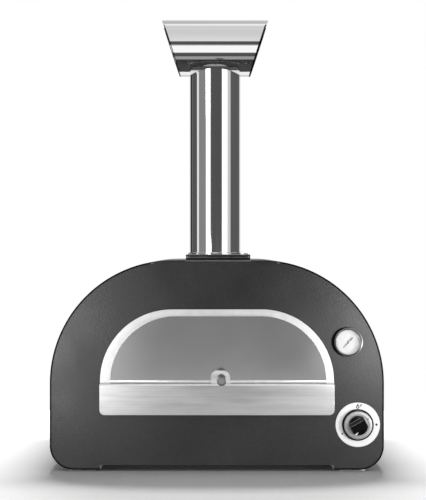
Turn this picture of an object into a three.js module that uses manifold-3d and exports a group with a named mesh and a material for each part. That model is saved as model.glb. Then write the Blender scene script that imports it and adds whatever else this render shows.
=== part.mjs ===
// Portable gas pizza oven with an arched steel body, a loose arched door and a flue with a cowl.
// Millimetres. +Z is up, the front faces -Y, and the origin is on the ground at the oven's middle.
import * as THREE from 'three';
import { mergeVertices } from 'three/addons/utils/BufferGeometryUtils.js';
import Module from 'manifold-3d';

// Gaps and cutters
const seat = 0.3;
const overrun = 5;
const arcSteps = 8;
const turnSteps = 40;
const smallTurnSteps = 16;
const hexSides = 6;
const gasPipeSteps = 60;
const gasPipeArcSteps = 4;

// Body
const bodyWidth = 760;
const bodyHeight = 480;
const bodyDepth = 620;
const topCornerRadius = 280;
const bottomCornerRadius = 55;
const shellWall = 2;
const plateWall = 2;
const panWall = 1.5;
const cheekWidth = 114;
const notchHeight = 14;
const glideHeight = 3;
const glideWidth = 28.4;
const glideGap = 2.7;
const glideInset = 12.5;
const glideEndInset = 10;

// Mouth, apron and landing
const sillHeight = 200.4;
const browHeight = 112;
const trimCornerRadius = 164;
const trimSideBand = 28;
const trimTopBand = 23;
const trimProud = 3;
const throatCornerRadius = 140;
const throatWall = 2;
const apronHeight = 71.2;
const apronProud = 20;
const apronWall = 1.5;
const apronCornerRadius = 12;
const apronBendRadius = 5;
const landingReach = 3.5;

// Door and handle
const doorSideOverlap = 8.4;
const doorTopOverlap = 7.6;
const doorCornerRadius = 149;
const doorShift = 3.4;
const doorDepth = 8;
const doorWall = 1.5;
const lipLift = 2;
const lipHeight = 5.3;
const lipDepth = 3;
const bracketWidth = 43;
const bracketHeight = 29.3;
const bracketCornerRadius = 15;
const bracketThickness = 3;
const bracketShift = 4.6;
const handleShift = 6.6;
const handleLift = 15.6;
const handleReach = 132;
const handleRodRadius = 5;
const gripRadius = 10.75;
const gripNeckRadius = 8.6;
const gripLength = 92;
const gripEndRound = 2;
const handleCapRadius = 7.6;
const handleCapThickness = 4;
const handleCapRecess = 1.6;

// Chamber
const chamberSideSpace = 90;
const chamberRoofSpace = 65;
const chamberRearSpace = 60;
const chamberCornerRadius = 200;
const vaultSetback = 40;
const vaultWall = 1.5;
const insulationThickness = 35;
const tileThickness = 20;
const boardThickness = 39.4;
const frameWall = 1.5;

// Burner and gas line
const burnerInset = 28;
const burnerLift = 32;
const burnerRadius = 14;
const burnerWall = 1.5;
const burnerFrontSpace = 80;
const burnerSlotWidth = 2;
const burnerSlotInset = 30;
const cradleWidth = 20;
const cradleWall = 2;
const cradlePostLength = 10;
const guardHeight = 60;
const guardGap = 10;
const guardWall = 1.5;
const guardFoot = 7;
const gasPipeRadius = 5;
const blanketClear = 2.5;
const gasPipeClear = 4;
const pipeInsertion = 12;
const igniterRadius = 3;
const igniterReach = 70;
const igniterLift = 12;
const igniterTail = 8;
const valveWidth = 60;
const valveHeight = 36;
const valveDepth = 35;
const feedPortShare = 0.2;
const inletPortShare = 0.3;
const stemRadius = 4;
const stemDepth = 15;
const inletReach = 18;
const inletShankRadius = 7;
const inletShankLength = 12;
const inletHexRadius = 12;
const inletHexThickness = 7;
const inletBarbRadius = 5.5;
const inletBoreRadius = 3;

// Control knob
const knobInsetShare = 0.523;
const knobHeightShare = 0.527;
const knobPlateRadius = 50.5;
const knobPlateThickness = 1.2;
const knobRingRadius = 35.8;
const knobRingWidth = 3.2;
const knobRingHeight = 5.5;
const knobSkirtRadius = 32;
const knobSkirtHeight = 10;
const knobEdgeRound = 2;
const knobTravel = 4;
const knobRest = 0.5;
const knobGripRadius = 22.4;
const knobGripBase = 3;
const knobBarWidth = 11;
const knobBarHeight = 12;
const knobBarRound = 4;
const knobAngle = 30 * Math.PI / 180;

// Thermometer
const thermometerInset = 79.5;
const thermometerHeightShare = 0.6125;
const thermometerTilt = -10 * Math.PI / 180;
const caseRadius = 32;
const caseBackRadius = 28;
const caseDepth = 13;
const caseBackWall = 2;
const caseRim = 2.6;
const dialThickness = 1;
const needleTip = 19;
const needleTail = 12.6;
const needleWidth = 2.4;
const needleThickness = 0.8;
const needleHubRadius = 2.2;
const needleHubHeight = 2;
const needleAngle = 227 * Math.PI / 180;
const glassThickness = 1.4;
const glassInset = 0.8;
const stemProbeRadius = 3.5;
const stemProbeLength = 34;
const probeHoleRadius = 6;
const probeNutRadius = 12;
const probeNutThickness = 6;

// Flue
const flueSetback = 150;
const flueShift = -4;
const collarShift = 3;
const collarWidth = 150;
const collarPlateThickness = 6;
const flueRingWidth = 2.3;
const flueRingHeight = 4.6;
const pipeRadius = 60;
const pipeWall = 1.5;
const spigotFlangeRadius = 75;
const spigotFlangeThickness = 1.5;
const spigotRise = 45;
const pipeRise = 421.7;
const capHeight = 131.8;
const capDepth = 200;
const capTopLength = 251.4;
const capBottomLength = 166.2;
const capWall = 1.5;
const capNeckLength = 45;

// Fasteners and vents
const screwHeadRadius = 4.5;
const screwHeadHeight = 2.6;
const screwShankRadius = 2;
const screwLength = 9;
const collarScrewInset = 9;
const rearScrewInset = 22;
const ventLength = 90;
const ventHeight = 7;
const ventPitch = 20;
const ventRowShare = 0.3;
const ventRows = 5;
const ventColumnShares = [-0.25, 0, 0.25];
const ventArcSteps = 2;

// Places that follow from the sizes
const halfBody = bodyWidth / 2;
const frontY = handleReach / 2 - (bodyDepth + inletReach) / 2;
const rearY = frontY + bodyDepth;
const plateBackY = frontY + plateWall;
const rearCoverY = rearY - plateWall;
const notchHalf = halfBody - cheekWidth;
const trimTop = bodyHeight - browHeight;
const throatHalf = notchHalf - trimSideBand;
const throatTop = trimTop - trimTopBand;
const trimRound = Math.min(trimCornerRadius, notchHalf, trimTop - sillHeight - seat);
const throatRound = Math.min(throatCornerRadius, throatHalf, throatTop - sillHeight - seat);
const vaultFrontY = frontY + vaultSetback;
const vaultRearY = rearY - chamberRearSpace;
const chamberHalf = halfBody - chamberSideSpace;
const chamberTop = bodyHeight - chamberRoofSpace;
const tileTop = sillHeight - seat;
const boardTop = tileTop - tileThickness - seat;
const frameTop = boardTop - boardThickness - seat;
const vaultBottom = frameTop + seat;
const chamberRound = Math.min(chamberCornerRadius, chamberHalf, chamberTop - sillHeight);
const blanketHalf = chamberHalf + vaultWall + seat + insulationThickness;
const blanketRearY = vaultRearY + seat + insulationThickness;
const knobX = halfBody - cheekWidth * knobInsetShare;
const knobZ = sillHeight * knobHeightShare;
const gasPipeX = knobX - valveWidth * feedPortShare;
const inletX = knobX + valveWidth * inletPortShare;
const valveBackY = plateBackY + seat + valveDepth;
const legOuter = gasPipeX - gasPipeRadius - gasPipeClear;
const burnerX = chamberHalf - burnerInset;
const burnerZ = sillHeight + burnerLift;
const igniterZ = burnerZ + burnerRadius + igniterLift;
const burnerFrontY = vaultFrontY + burnerFrontSpace;
const burnerRearY = vaultRearY - vaultWall - seat;
const flueY = frontY + flueSetback;
const collarTop = bodyHeight + 2 * (seat + collarPlateThickness);
const pipeInner = pipeRadius - pipeWall;
const spigotOuter = pipeInner - seat;
const spigotInner = spigotOuter - pipeWall;
const capBottom = collarTop + seat + pipeRise;
const capMiddle = capBottom + capHeight / 2;

const wasm = await Module();
wasm.setup();

// A closed geometry becomes a solid: its shared corners are merged and its empty faces dropped.
function solidOf(geometry) {
  const bare = geometry.clone();
  bare.deleteAttribute('normal');
  bare.deleteAttribute('uv');
  const whole = mergeVertices(bare);
  const corners = whole.index.array;
  const kept = [];
  for (let i = 0; i < corners.length; i += 3) {
    const [a, b, c] = [corners[i], corners[i + 1], corners[i + 2]];
    if (a !== b && b !== c && c !== a) kept.push(a, b, c);
  }
  const vertProperties = new Float32Array(whole.attributes.position.array);
  const triVerts = new Uint32Array(kept);
  return new wasm.Manifold(new wasm.Mesh({ numProp: 3, vertProperties, triVerts }));
}

function geometryOf(solid) {
  const { vertProperties, triVerts } = solid.getMesh();
  const geometry = new THREE.BufferGeometry();
  geometry.setAttribute('position', new THREE.BufferAttribute(vertProperties, 3));
  geometry.setIndex(new THREE.BufferAttribute(triVerts, 1));
  geometry.computeVertexNormals();
  return geometry;
}

function joined(solids) {
  return solids.reduce((whole, next) => whole.add(next));
}

function cut(solid, cutters) {
  return cutters.reduce((rest, cutter) => rest.subtract(cutter), solid);
}

function extruded(shape, depth, curveSegments = arcSteps) {
  return new THREE.ExtrudeGeometry(shape, { depth, bevelEnabled: false, curveSegments });
}

// An outline in X and Z, filled from nearY back to farY.
function slab(shape, nearY, farY, steps) {
  const geometry = extruded(shape, farY - nearY, steps);
  geometry.rotateX(Math.PI / 2);
  geometry.translate(0, farY, 0);
  return solidOf(geometry);
}

// An outline in Y and Z, filled from lowX to highX.
function beam(shape, lowX, highX, steps) {
  const geometry = extruded(shape, highX - lowX, steps);
  const turn = new THREE.Matrix4().makeBasis(
    new THREE.Vector3(0, 1, 0), new THREE.Vector3(0, 0, 1), new THREE.Vector3(1, 0, 0));
  geometry.applyMatrix4(turn);
  geometry.translate(lowX, 0, 0);
  return solidOf(geometry);
}

function block([lowX, highX], [lowY, highY], [lowZ, highZ]) {
  const geometry = new THREE.BoxGeometry(highX - lowX, highY - lowY, highZ - lowZ);
  geometry.translate((lowX + highX) / 2, (lowY + highY) / 2, (lowZ + highZ) / 2);
  return solidOf(geometry);
}

function lathe(profile, steps) {
  return new THREE.LatheGeometry(profile.map(([r, h]) => new THREE.Vector2(r, h)), steps);
}

// A profile of radius and height, turned about a vertical axis at (x, y).
function turnedUp(profile, x, y, steps = turnSteps) {
  const geometry = lathe(profile, steps);
  geometry.rotateX(Math.PI / 2);
  geometry.translate(x, y, 0);
  return solidOf(geometry);
}

// A profile of radius and distance in front of planeY, turned about a level axis at (x, z).
function turnedFront(profile, x, planeY, z, steps = turnSteps) {
  const geometry = lathe(profile, steps);
  geometry.rotateX(Math.PI);
  geometry.translate(x, planeY, z);
  return solidOf(geometry);
}

function rodProfile(radius, low, high) {
  return [[0, low], [radius, low], [radius, high], [0, high]];
}

function tubeProfile(inner, outer, low, high) {
  return [[outer, low], [outer, high], [inner, high], [inner, low], [outer, low]];
}

// A flat-bottomed arch: a rectangle with round top corners and, if wanted, round bottom ones.
function arch(half, bottom, top, corner, foot = 0) {
  const round = Math.min(corner, half, top - bottom - foot);
  const shape = new THREE.Shape();
  shape.moveTo(-half + foot, bottom);
  shape.lineTo(half - foot, bottom);
  if (foot > 0) shape.absarc(half - foot, bottom + foot, foot, -Math.PI / 2, 0, false);
  shape.lineTo(half, top - round);
  shape.absarc(half - round, top - round, round, 0, Math.PI / 2, false);
  shape.lineTo(-half + round, top);
  shape.absarc(-half + round, top - round, round, Math.PI / 2, Math.PI, false);
  shape.lineTo(-half, bottom + foot);
  if (foot > 0) shape.absarc(-half + foot, bottom + foot, foot, Math.PI, Math.PI * 3 / 2, false);
  return shape;
}

function bodyArch(inset) {
  return arch(halfBody - inset, glideHeight + inset, bodyHeight - inset,
    topCornerRadius - inset, bottomCornerRadius - inset);
}

function ellipse(y, z, halfY, halfZ) {
  const shape = new THREE.Shape();
  shape.absellipse(y, z, halfY, halfZ, 0, Math.PI * 2, false, 0);
  return shape;
}

// Finishes
function finish(color, roughness, metalness) {
  return () => new THREE.MeshStandardMaterial({ color, roughness, metalness, flatShading: true });
}
const darkPaint = finish(0x3f3f40, 0.62, 0.25);
const blackSteel = finish(0x1c1c1d, 0.6, 0.4);
const mirrorSteel = finish(0xd6d6d8, 0.12, 1);
const brushedSteel = finish(0xb9b9bb, 0.34, 1);
const satinSteel = finish(0xa2a2a5, 0.42, 1);
const zincSteel = finish(0x8f9194, 0.5, 0.9);
const stone = finish(0xcfc4ae, 0.95, 0);
const wool = finish(0xe4dfd2, 1, 0);
const board = finish(0xd9d6cf, 1, 0);
const brass = finish(0xb8944a, 0.35, 1);
const ceramic = finish(0xf0ede6, 0.4, 0);
const blackPlastic = finish(0x141414, 0.35, 0);
const dialWhite = finish(0xf4f4f2, 0.5, 0);
const clearGlass = finish(0xe8f0f2, 0.05, 0);
const paleFelt = finish(0xa8a8a6, 0.9, 0);

const oven = new THREE.Group();

function piece(name, solid, material, parent = oven) {
  const mesh = new THREE.Mesh(geometryOf(solid), material());
  mesh.name = name;
  parent.add(mesh);
  return mesh;
}

// Screw places, used by the screws and by every plate that they pass through
const collarScrewReach = collarWidth / 2 - collarScrewInset;
const collarScrews = [[-1, -1], [1, -1], [1, 1], [-1, 1]].map(([right, back]) =>
  [collarShift + right * collarScrewReach, flueY + back * collarScrewReach]);
const rearScrewLow = bottomCornerRadius + rearScrewInset;
const rearScrewHigh = bodyHeight - topCornerRadius;
const rearScrews = [[-1, rearScrewLow], [1, rearScrewLow], [-1, rearScrewHigh], [1, rearScrewHigh]].map(
  ([right, z]) => [right * (halfBody - rearScrewInset), z]);

function collarScrewHoles(low, high) {
  return collarScrews.map(([x, y]) =>
    turnedUp(rodProfile(screwShankRadius + seat, low, high), x, y, smallTurnSteps));
}

// Casing
function makeShell() {
  const outer = slab(bodyArch(0), frontY, rearY);
  const inner = slab(bodyArch(shellWall), frontY - overrun, rearY + overrun);
  const notch = block([-notchHalf, notchHalf], [frontY - overrun, rearY + overrun],
    [glideHeight - overrun, glideHeight + shellWall + overrun]);
  const flueHole = turnedUp(rodProfile(spigotOuter + seat, bodyHeight - shellWall - overrun,
    bodyHeight + overrun), flueShift, flueY);
  const screwHoles = collarScrewHoles(bodyHeight - shellWall - overrun, bodyHeight + overrun);
  piece('outer_shell', cut(outer, [inner, notch, flueHole, ...screwHoles]), darkPaint);
}

function notchCut() {
  return block([-notchHalf, notchHalf], [frontY - overrun, rearY + overrun], [-overrun, notchHeight]);
}

// The way through the front plate and the vault's front wall, for the throat and the landing.
function mouthCut(nearY, farY) {
  const grown = throatWall + seat;
  return slab(arch(throatHalf + grown, sillHeight - apronWall - seat, throatTop + grown,
    throatRound + grown), nearY, farY);
}

function makeFrontPlate() {
  const sheet = slab(bodyArch(shellWall + seat), frontY, plateBackY);
  const through = [-plateWall - overrun, overrun];
  const probeHole = turnedFront(rodProfile(probeHoleRadius, ...through),
    halfBody - thermometerInset, frontY, bodyHeight * thermometerHeightShare, smallTurnSteps);
  const stemHole = turnedFront(rodProfile(stemRadius + seat, ...through), knobX, frontY, knobZ,
    smallTurnSteps);
  const mouth = mouthCut(frontY - overrun, plateBackY + overrun);
  piece('front_plate', cut(sheet, [notchCut(), mouth, probeHole, stemHole]), darkPaint);
}

function makeRearCover() {
  const sheet = slab(bodyArch(shellWall + seat), rearCoverY, rearY);
  const vents = [];
  for (const share of ventColumnShares) {
    for (let row = 0; row < ventRows; row += 1) {
      const z = bodyHeight * ventRowShare + row * ventPitch;
      const slot = new THREE.Shape();
      const reach = (ventLength - ventHeight) / 2;
      slot.absarc(bodyWidth * share + reach, z, ventHeight / 2, -Math.PI / 2, Math.PI / 2, false);
      slot.absarc(bodyWidth * share - reach, z, ventHeight / 2, Math.PI / 2, Math.PI * 3 / 2, false);
      vents.push(slab(slot, rearCoverY - overrun, rearY + overrun, ventArcSteps));
    }
  }
  const through = [-plateWall - overrun, overrun];
  const inletHole = turnedFront(rodProfile(inletShankRadius + seat, ...through), inletX, rearCoverY,
    knobZ, smallTurnSteps);
  const screwHoles = rearScrews.map(([x, z]) =>
    turnedFront(rodProfile(screwShankRadius + seat, ...through), x, rearCoverY, z, smallTurnSteps));
  piece('rear_cover', cut(sheet, [notchCut(), inletHole, ...vents, ...screwHoles]), darkPaint);
  rearScrews.forEach(([x, z], index) => {
    const screw = turnedFront([[0, -screwHeadHeight - seat], [screwHeadRadius / 2, -screwHeadHeight - seat],
      [screwHeadRadius, -seat], [screwShankRadius, -seat], [screwShankRadius, screwLength],
      [0, screwLength]], x, rearY, z, smallTurnSteps);
    piece(`rear_screw_${index + 1}`, screw, zincSteel);
  });
}

function makeBase() {
  const frameY = [plateBackY + seat, rearCoverY - seat];
  const footTop = glideHeight + shellWall + seat;
  const outer = block([-notchHalf - panWall, notchHalf + panWall], frameY,
    [footTop, notchHeight + panWall]);
  const inner = block([-notchHalf, notchHalf], [frontY, rearY], [footTop - overrun, notchHeight]);
  piece('base_pan', outer.subtract(inner), zincSteel);
  const starts = [notchHalf + glideInset, notchHalf + glideInset + glideWidth + glideGap];
  for (const [side, sign] of [['left', -1], ['right', 1]]) {
    starts.forEach((start, index) => {
      const reach = [start * sign, (start + glideWidth) * sign].sort((a, b) => a - b);
      const strip = block(reach, [frontY + glideEndInset, rearY - glideEndInset], [0, glideHeight - seat]);
      piece(`glide_${side}_${index + 1}`, strip, paleFelt);
    });
  }
}

// Mouth
function makeTrim() {
  const bottom = sillHeight + seat;
  const band = slab(arch(notchHalf, bottom, trimTop, trimRound), frontY - trimProud, frontY - seat);
  const sleeve = slab(arch(throatHalf + throatWall, bottom, throatTop + throatWall,
    throatRound + throatWall), frontY - trimProud, vaultFrontY - seat);
  const bore = slab(arch(throatHalf, bottom - overrun, throatTop, throatRound),
    frontY - trimProud - overrun, vaultFrontY + overrun);
  piece('mouth_trim', cut(joined([band, sleeve]), [bore]), mirrorSteel);
}

function apronBlock(inset, nearY, farY) {
  const low = sillHeight - apronHeight + inset;
  const corner = Math.max(apronCornerRadius - inset, seat);
  const front = new THREE.Shape();
  const half = notchHalf - inset;
  front.moveTo(-half + corner, low);
  front.lineTo(half - corner, low);
  front.absarc(half - corner, low + corner, corner, -Math.PI / 2, 0, false);
  front.lineTo(half, sillHeight - inset);
  front.lineTo(-half, sillHeight - inset);
  front.lineTo(-half, low + corner);
  front.absarc(-half + corner, low + corner, corner, Math.PI, Math.PI * 3 / 2, false);
  const bend = Math.max(apronBendRadius - inset, seat);
  const side = new THREE.Shape();
  side.moveTo(nearY, low);
  side.lineTo(farY, low);
  side.lineTo(farY, sillHeight - inset);
  side.lineTo(nearY + bend, sillHeight - inset);
  side.absarc(nearY + bend, sillHeight - inset - bend, bend, Math.PI / 2, Math.PI, false);
  return slab(front, nearY, farY, arcSteps / 2).intersect(beam(side, -half, half, arcSteps / 2));
}

function makeApron() {
  const nearY = frontY - apronProud;
  const shell = apronBlock(0, nearY, frontY - seat).subtract(
    apronBlock(apronWall, nearY + apronWall, frontY + overrun));
  const landingHalf = throatHalf + throatWall;
  const landing = block([-landingHalf, landingHalf],
    [nearY + apronBendRadius, vaultFrontY + vaultWall + landingReach], [sillHeight - apronWall, sillHeight]);
  piece('apron', joined([shell, landing]), brushedSteel);
}

// Door, with its handle. It stands on the landing and leans on the face of the trim.
const doorHalf = throatHalf + doorSideOverlap;
const doorTop = throatTop + doorTopOverlap;
const doorBottom = sillHeight + seat;
const doorBackY = frontY - trimProud - seat;
const doorFrontY = doorBackY - doorDepth;
const doorRound = Math.min(doorCornerRadius, doorHalf, doorTop - doorBottom);

function doorArch(inset) {
  return arch(doorHalf - inset, doorBottom + inset, doorTop - inset, doorRound - inset);
}

function makeDoor() {
  const door = new THREE.Group();
  door.position.x = doorShift;
  oven.add(door);
  const skin = slab(doorArch(0), doorFrontY, doorBackY);
  const hollow = slab(doorArch(doorWall), doorFrontY + doorWall, doorBackY + overrun);
  piece('door_panel', skin.subtract(hollow), brushedSteel, door);
  const linerY = doorBackY - doorWall;
  piece('door_liner', slab(doorArch(doorWall + seat), linerY, doorBackY), satinSteel, door);
  piece('door_insulation', slab(doorArch(doorWall + seat), doorFrontY + doorWall + seat, linerY - seat),
    wool, door);
  const lipY = doorFrontY - seat - lipDepth;
  const lip = block([-doorHalf, doorHalf], [lipY, doorFrontY - seat],
    [doorBottom + lipLift, doorBottom + lipLift + lipHeight]);
  piece('door_lip', lip, mirrorSteel, door);
  const handleZ = sillHeight + handleLift;
  const bracketY = lipY - seat;
  const tab = arch(bracketWidth / 2, doorBottom, doorBottom + bracketHeight, bracketCornerRadius);
  const plate = slab(tab, bracketY - bracketThickness, bracketY, arcSteps / 2);
  const rodHole = turnedFront(rodProfile(handleRodRadius + seat, -overrun, bracketThickness + overrun),
    handleShift, bracketY, handleZ, smallTurnSteps);
  piece('door_bracket', plate.translate(bracketShift, 0, 0).subtract(rodHole), mirrorSteel, door);
  makeHandle(door, handleZ);
}

function makeHandle(door, handleZ) {
  const tip = handleReach;
  const rodStart = frontY - doorFrontY + seat;
  const rodEnd = tip - handleCapThickness - seat;
  piece('handle_rod', turnedFront(rodProfile(handleRodRadius, rodStart, rodEnd), handleShift, frontY,
    handleZ, smallTurnSteps), satinSteel, door);
  const bore = handleRodRadius + seat;
  const pocket = handleCapRadius + seat;
  const start = tip - gripLength;
  const grip = turnedFront([[bore, start], [gripNeckRadius - gripEndRound, start],
    [gripNeckRadius, start + gripEndRound], [gripRadius, start + gripLength / 2],
    [gripRadius, tip - gripEndRound], [gripRadius - gripEndRound, tip], [pocket, tip],
    [pocket, rodEnd], [bore, rodEnd], [bore, start]], handleShift, frontY, handleZ, smallTurnSteps);
  piece('handle_grip', grip, satinSteel, door);
  const cap = turnedFront([[0, rodEnd + seat], [handleCapRadius, rodEnd + seat], [handleCapRadius, tip],
    [handleCapRadius / 2, tip], [handleCapRadius / 2, tip - handleCapRecess], [0, tip - handleCapRecess]],
  handleShift, frontY, handleZ, smallTurnSteps);
  piece('handle_cap', cap, zincSteel, door);
}

// Chamber
function vaultArch(grown, bottom) {
  return arch(chamberHalf + grown, bottom, chamberTop + grown, chamberRound + grown);
}

// The pipe's and the igniter's way through the rear of the vault and its blanket
function serviceHoles(clear) {
  const [near, far] = [-insulationThickness - overrun, vaultWall + overrun];
  return [[gasPipeRadius, burnerZ], [igniterRadius, igniterZ]].map(([radius, z]) =>
    turnedFront(rodProfile(radius + clear, near, far), burnerX, vaultRearY, z, smallTurnSteps));
}

function makeVault() {
  const outer = slab(vaultArch(vaultWall, vaultBottom), vaultFrontY, vaultRearY);
  const inner = slab(vaultArch(0, vaultBottom - overrun), vaultFrontY + vaultWall, vaultRearY - vaultWall);
  const mouth = mouthCut(vaultFrontY - overrun, vaultFrontY + vaultWall + overrun);
  const flueHole = turnedUp(rodProfile(spigotInner, chamberTop - overrun, chamberTop + vaultWall + overrun),
    flueShift, flueY);
  piece('inner_vault', cut(outer, [inner, mouth, flueHole, ...serviceHoles(seat)]), satinSteel);

  const blanket = slab(vaultArch(vaultWall + seat + insulationThickness, vaultBottom), vaultFrontY,
    blanketRearY);
  const room = slab(vaultArch(vaultWall + seat, vaultBottom - overrun), vaultFrontY - overrun,
    vaultRearY + seat);
  const roof = chamberTop + vaultWall;
  const flueWay = turnedUp(rodProfile(spigotOuter + seat, roof, roof + insulationThickness + overrun),
    flueShift, flueY);
  const flangeRoom = turnedUp(rodProfile(spigotFlangeRadius + seat, roof,
    roof + seat + spigotFlangeThickness + seat), flueShift, flueY);
  piece('vault_insulation', cut(blanket, [room, flueWay, flangeRoom, ...serviceHoles(blanketClear)]), wool);
}

function makeFloor() {
  const innerHalf = chamberHalf - seat;
  const innerY = [vaultFrontY + vaultWall + seat, vaultRearY - vaultWall - seat];
  piece('floor_board', block([-innerHalf, innerHalf], innerY, [boardTop - boardThickness, boardTop]),
    board);
  const tileFrontY = innerY[0] + landingReach;
  const tileMiddleY = (tileFrontY + innerY[1]) / 2;
  const columns = [[-innerHalf, -seat / 2], [seat / 2, innerHalf]];
  const rows = [[tileFrontY, tileMiddleY - seat / 2], [tileMiddleY + seat / 2, innerY[1]]];
  rows.forEach((row, back) => columns.forEach((column, right) => {
    const tile = block(column, row, [tileTop - tileThickness, tileTop]);
    piece(`floor_tile_${back * 2 + right + 1}`, tile, stone);
  }));
  const deck = block([-blanketHalf, blanketHalf], [vaultFrontY, blanketRearY],
    [frameTop - frameWall, frameTop]);
  const legs = block([-legOuter, legOuter], [vaultFrontY, blanketRearY],
    [notchHeight + panWall + seat, frameTop]);
  const between = block([-legOuter + frameWall, legOuter - frameWall],
    [vaultFrontY - overrun, blanketRearY + overrun], [0, frameTop - frameWall]);
  piece('floor_frame', joined([deck, legs.subtract(between)]), zincSteel);
}

// Burner
function makeBurner() {
  const bore = burnerRadius - burnerWall;
  const mouth = gasPipeRadius + seat;
  const length = burnerRearY - burnerFrontY;
  const tube = turnedFront([[0, length], [0, length - burnerWall], [bore, length - burnerWall],
    [bore, burnerWall], [mouth, burnerWall], [mouth, 0], [burnerRadius, 0], [burnerRadius, length],
    [0, length]], burnerX, burnerRearY, burnerZ, smallTurnSteps);
  const slot = block([burnerX - burnerSlotWidth / 2, burnerX + burnerSlotWidth / 2],
    [burnerFrontY + burnerSlotInset, burnerRearY - burnerSlotInset],
    [burnerZ, burnerZ + burnerRadius + overrun]);
  piece('burner_tube', tube.subtract(slot), satinSteel);

  const cradleX = [burnerX - cradleWidth / 2, burnerX + cradleWidth / 2];
  const [nearY, farY] = [burnerFrontY + burnerSlotInset, burnerRearY - burnerSlotInset];
  const low = tileTop + seat;
  const strip = block(cradleX, [nearY, farY], [low, low + cradleWall]);
  const posts = [nearY, farY - cradlePostLength].map((y) =>
    block(cradleX, [y, y + cradlePostLength], [low, burnerZ]));
  const saddle = turnedFront(rodProfile(burnerRadius + seat, -overrun, length + overrun), burnerX,
    burnerRearY, burnerZ, smallTurnSteps);
  piece('burner_cradle', joined([strip, ...posts]).subtract(saddle), zincSteel);

  const guardX = burnerX - burnerRadius - guardGap;
  const guardY = [burnerFrontY, burnerRearY - burnerSlotInset];
  const wall = block([guardX - guardWall, guardX], guardY, [low, low + guardHeight]);
  const foot = block([guardX - guardWall, guardX + guardFoot], guardY, [low, low + guardWall]);
  piece('burner_guard', joined([wall, foot]), satinSteel);

  const igniterEnd = blanketRearY + igniterTail;
  piece('igniter_electrode', turnedFront(rodProfile(igniterRadius, vaultRearY - igniterEnd, igniterReach),
    burnerX, vaultRearY, igniterZ, smallTurnSteps), ceramic);
}

// A route of straight runs with a round bend at each inner point.
function bentRoute(points, bend) {
  const route = new THREE.CurvePath();
  let from = points[0];
  for (let i = 1; i < points.length - 1; i += 1) {
    const corner = points[i];
    const into = corner.clone().sub(points[i - 1]).normalize();
    const out = points[i + 1].clone().sub(corner).normalize();
    const before = corner.clone().addScaledVector(into, -bend);
    const after = corner.clone().addScaledVector(out, bend);
    route.add(new THREE.LineCurve3(from, before));
    route.add(new THREE.QuadraticBezierCurve3(before, corner, after));
    from = after;
  }
  route.add(new THREE.LineCurve3(from, points[points.length - 1]));
  return route;
}

function makeGasLine() {
  const valve = block([knobX - valveWidth / 2, knobX + valveWidth / 2], [plateBackY + seat, valveBackY],
    [knobZ - valveHeight / 2, knobZ + valveHeight / 2]);
  const bore = turnedFront(rodProfile(stemRadius + seat, -stemDepth - seat, overrun), knobX,
    plateBackY + seat, knobZ, smallTurnSteps);
  piece('gas_valve', valve.subtract(bore), brass);

  const turnY = (blanketRearY + rearCoverY) / 2;
  const route = bentRoute([
    new THREE.Vector3(gasPipeX, valveBackY + seat, knobZ),
    new THREE.Vector3(gasPipeX, turnY, knobZ),
    new THREE.Vector3(burnerX, turnY, burnerZ),
    new THREE.Vector3(burnerX, burnerRearY - pipeInsertion, burnerZ),
  ], turnY - blanketRearY);
  const round = new THREE.Shape();
  round.absarc(0, 0, gasPipeRadius, 0, Math.PI * 2, false);
  const pipe = new THREE.ExtrudeGeometry(round,
    { steps: gasPipeSteps, extrudePath: route, curveSegments: gasPipeArcSteps });
  piece('gas_pipe', solidOf(pipe), satinSteel);

  const inletEnd = rearCoverY - inletShankLength;
  const inlet = turnedFront([[0, 0], [inletBoreRadius, 0],
    [inletBoreRadius, -inletReach], [inletBarbRadius, -inletReach],
    [inletBarbRadius, -inletHexThickness - seat],
    [inletHexRadius, -inletHexThickness - seat], [inletHexRadius, -seat], [inletShankRadius, -seat],
    [inletShankRadius, plateWall + inletShankLength], [0, plateWall + inletShankLength]],
  inletX, rearY, knobZ, smallTurnSteps);
  piece('gas_inlet', inlet, brass);
  piece('inlet_pipe', turnedFront(rodProfile(gasPipeRadius, seat, inletEnd - valveBackY - seat),
    inletX, inletEnd, knobZ, smallTurnSteps), satinSteel);
}

// Control knob. The plate and the ring stay on the front, and the skirt and the grip turn and push.
function makeKnob() {
  const plateFace = seat + knobPlateThickness;
  piece('knob_plate', turnedFront(tubeProfile(stemRadius + seat, knobPlateRadius, seat, plateFace),
    knobX, frontY, knobZ), brushedSteel);
  piece('knob_ring', turnedFront(tubeProfile(knobRingRadius - knobRingWidth, knobRingRadius,
    plateFace + seat, plateFace + seat + knobRingHeight), knobX, frontY, knobZ), blackPlastic);

  const rear = plateFace + knobTravel + knobRest;
  const front = rear + knobSkirtHeight;
  const boreEnd = front - knobEdgeRound;
  const skirt = turnedFront([[0, boreEnd], [stemRadius + seat, boreEnd], [stemRadius + seat, rear],
    [knobSkirtRadius, rear], [knobSkirtRadius, front - knobEdgeRound],
    [knobSkirtRadius - knobEdgeRound, front], [0, front]], knobX, frontY, knobZ);
  piece('knob_skirt', skirt, satinSteel);

  const stemFront = boreEnd - seat - knobTravel;
  piece('valve_stem', turnedFront(rodProfile(stemRadius, -plateWall - seat - stemDepth, stemFront),
    knobX, frontY, knobZ, smallTurnSteps), brass);

  const base = turnedFront([[0, front + seat], [knobGripRadius, front + seat],
    [knobGripRadius, front + seat + knobGripBase - knobEdgeRound],
    [knobGripRadius - knobEdgeRound, front + seat + knobGripBase], [0, front + seat + knobGripBase]],
  0, 0, 0);
  const outline = arch(knobGripRadius, -knobBarWidth / 2, knobBarWidth / 2, knobBarRound, knobBarRound);
  const bar = slab(outline, -front - seat - knobBarHeight, -front - seat, arcSteps / 4);
  const withinGrip = turnedFront(rodProfile(knobGripRadius, front + seat, front + seat + knobBarHeight),
    0, 0, 0);
  const grip = base.add(bar.intersect(withinGrip));
  const mesh = piece('knob_grip', grip, blackPlastic);
  mesh.rotation.y = -knobAngle;
  mesh.position.set(knobX, frontY, knobZ);
}

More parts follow.
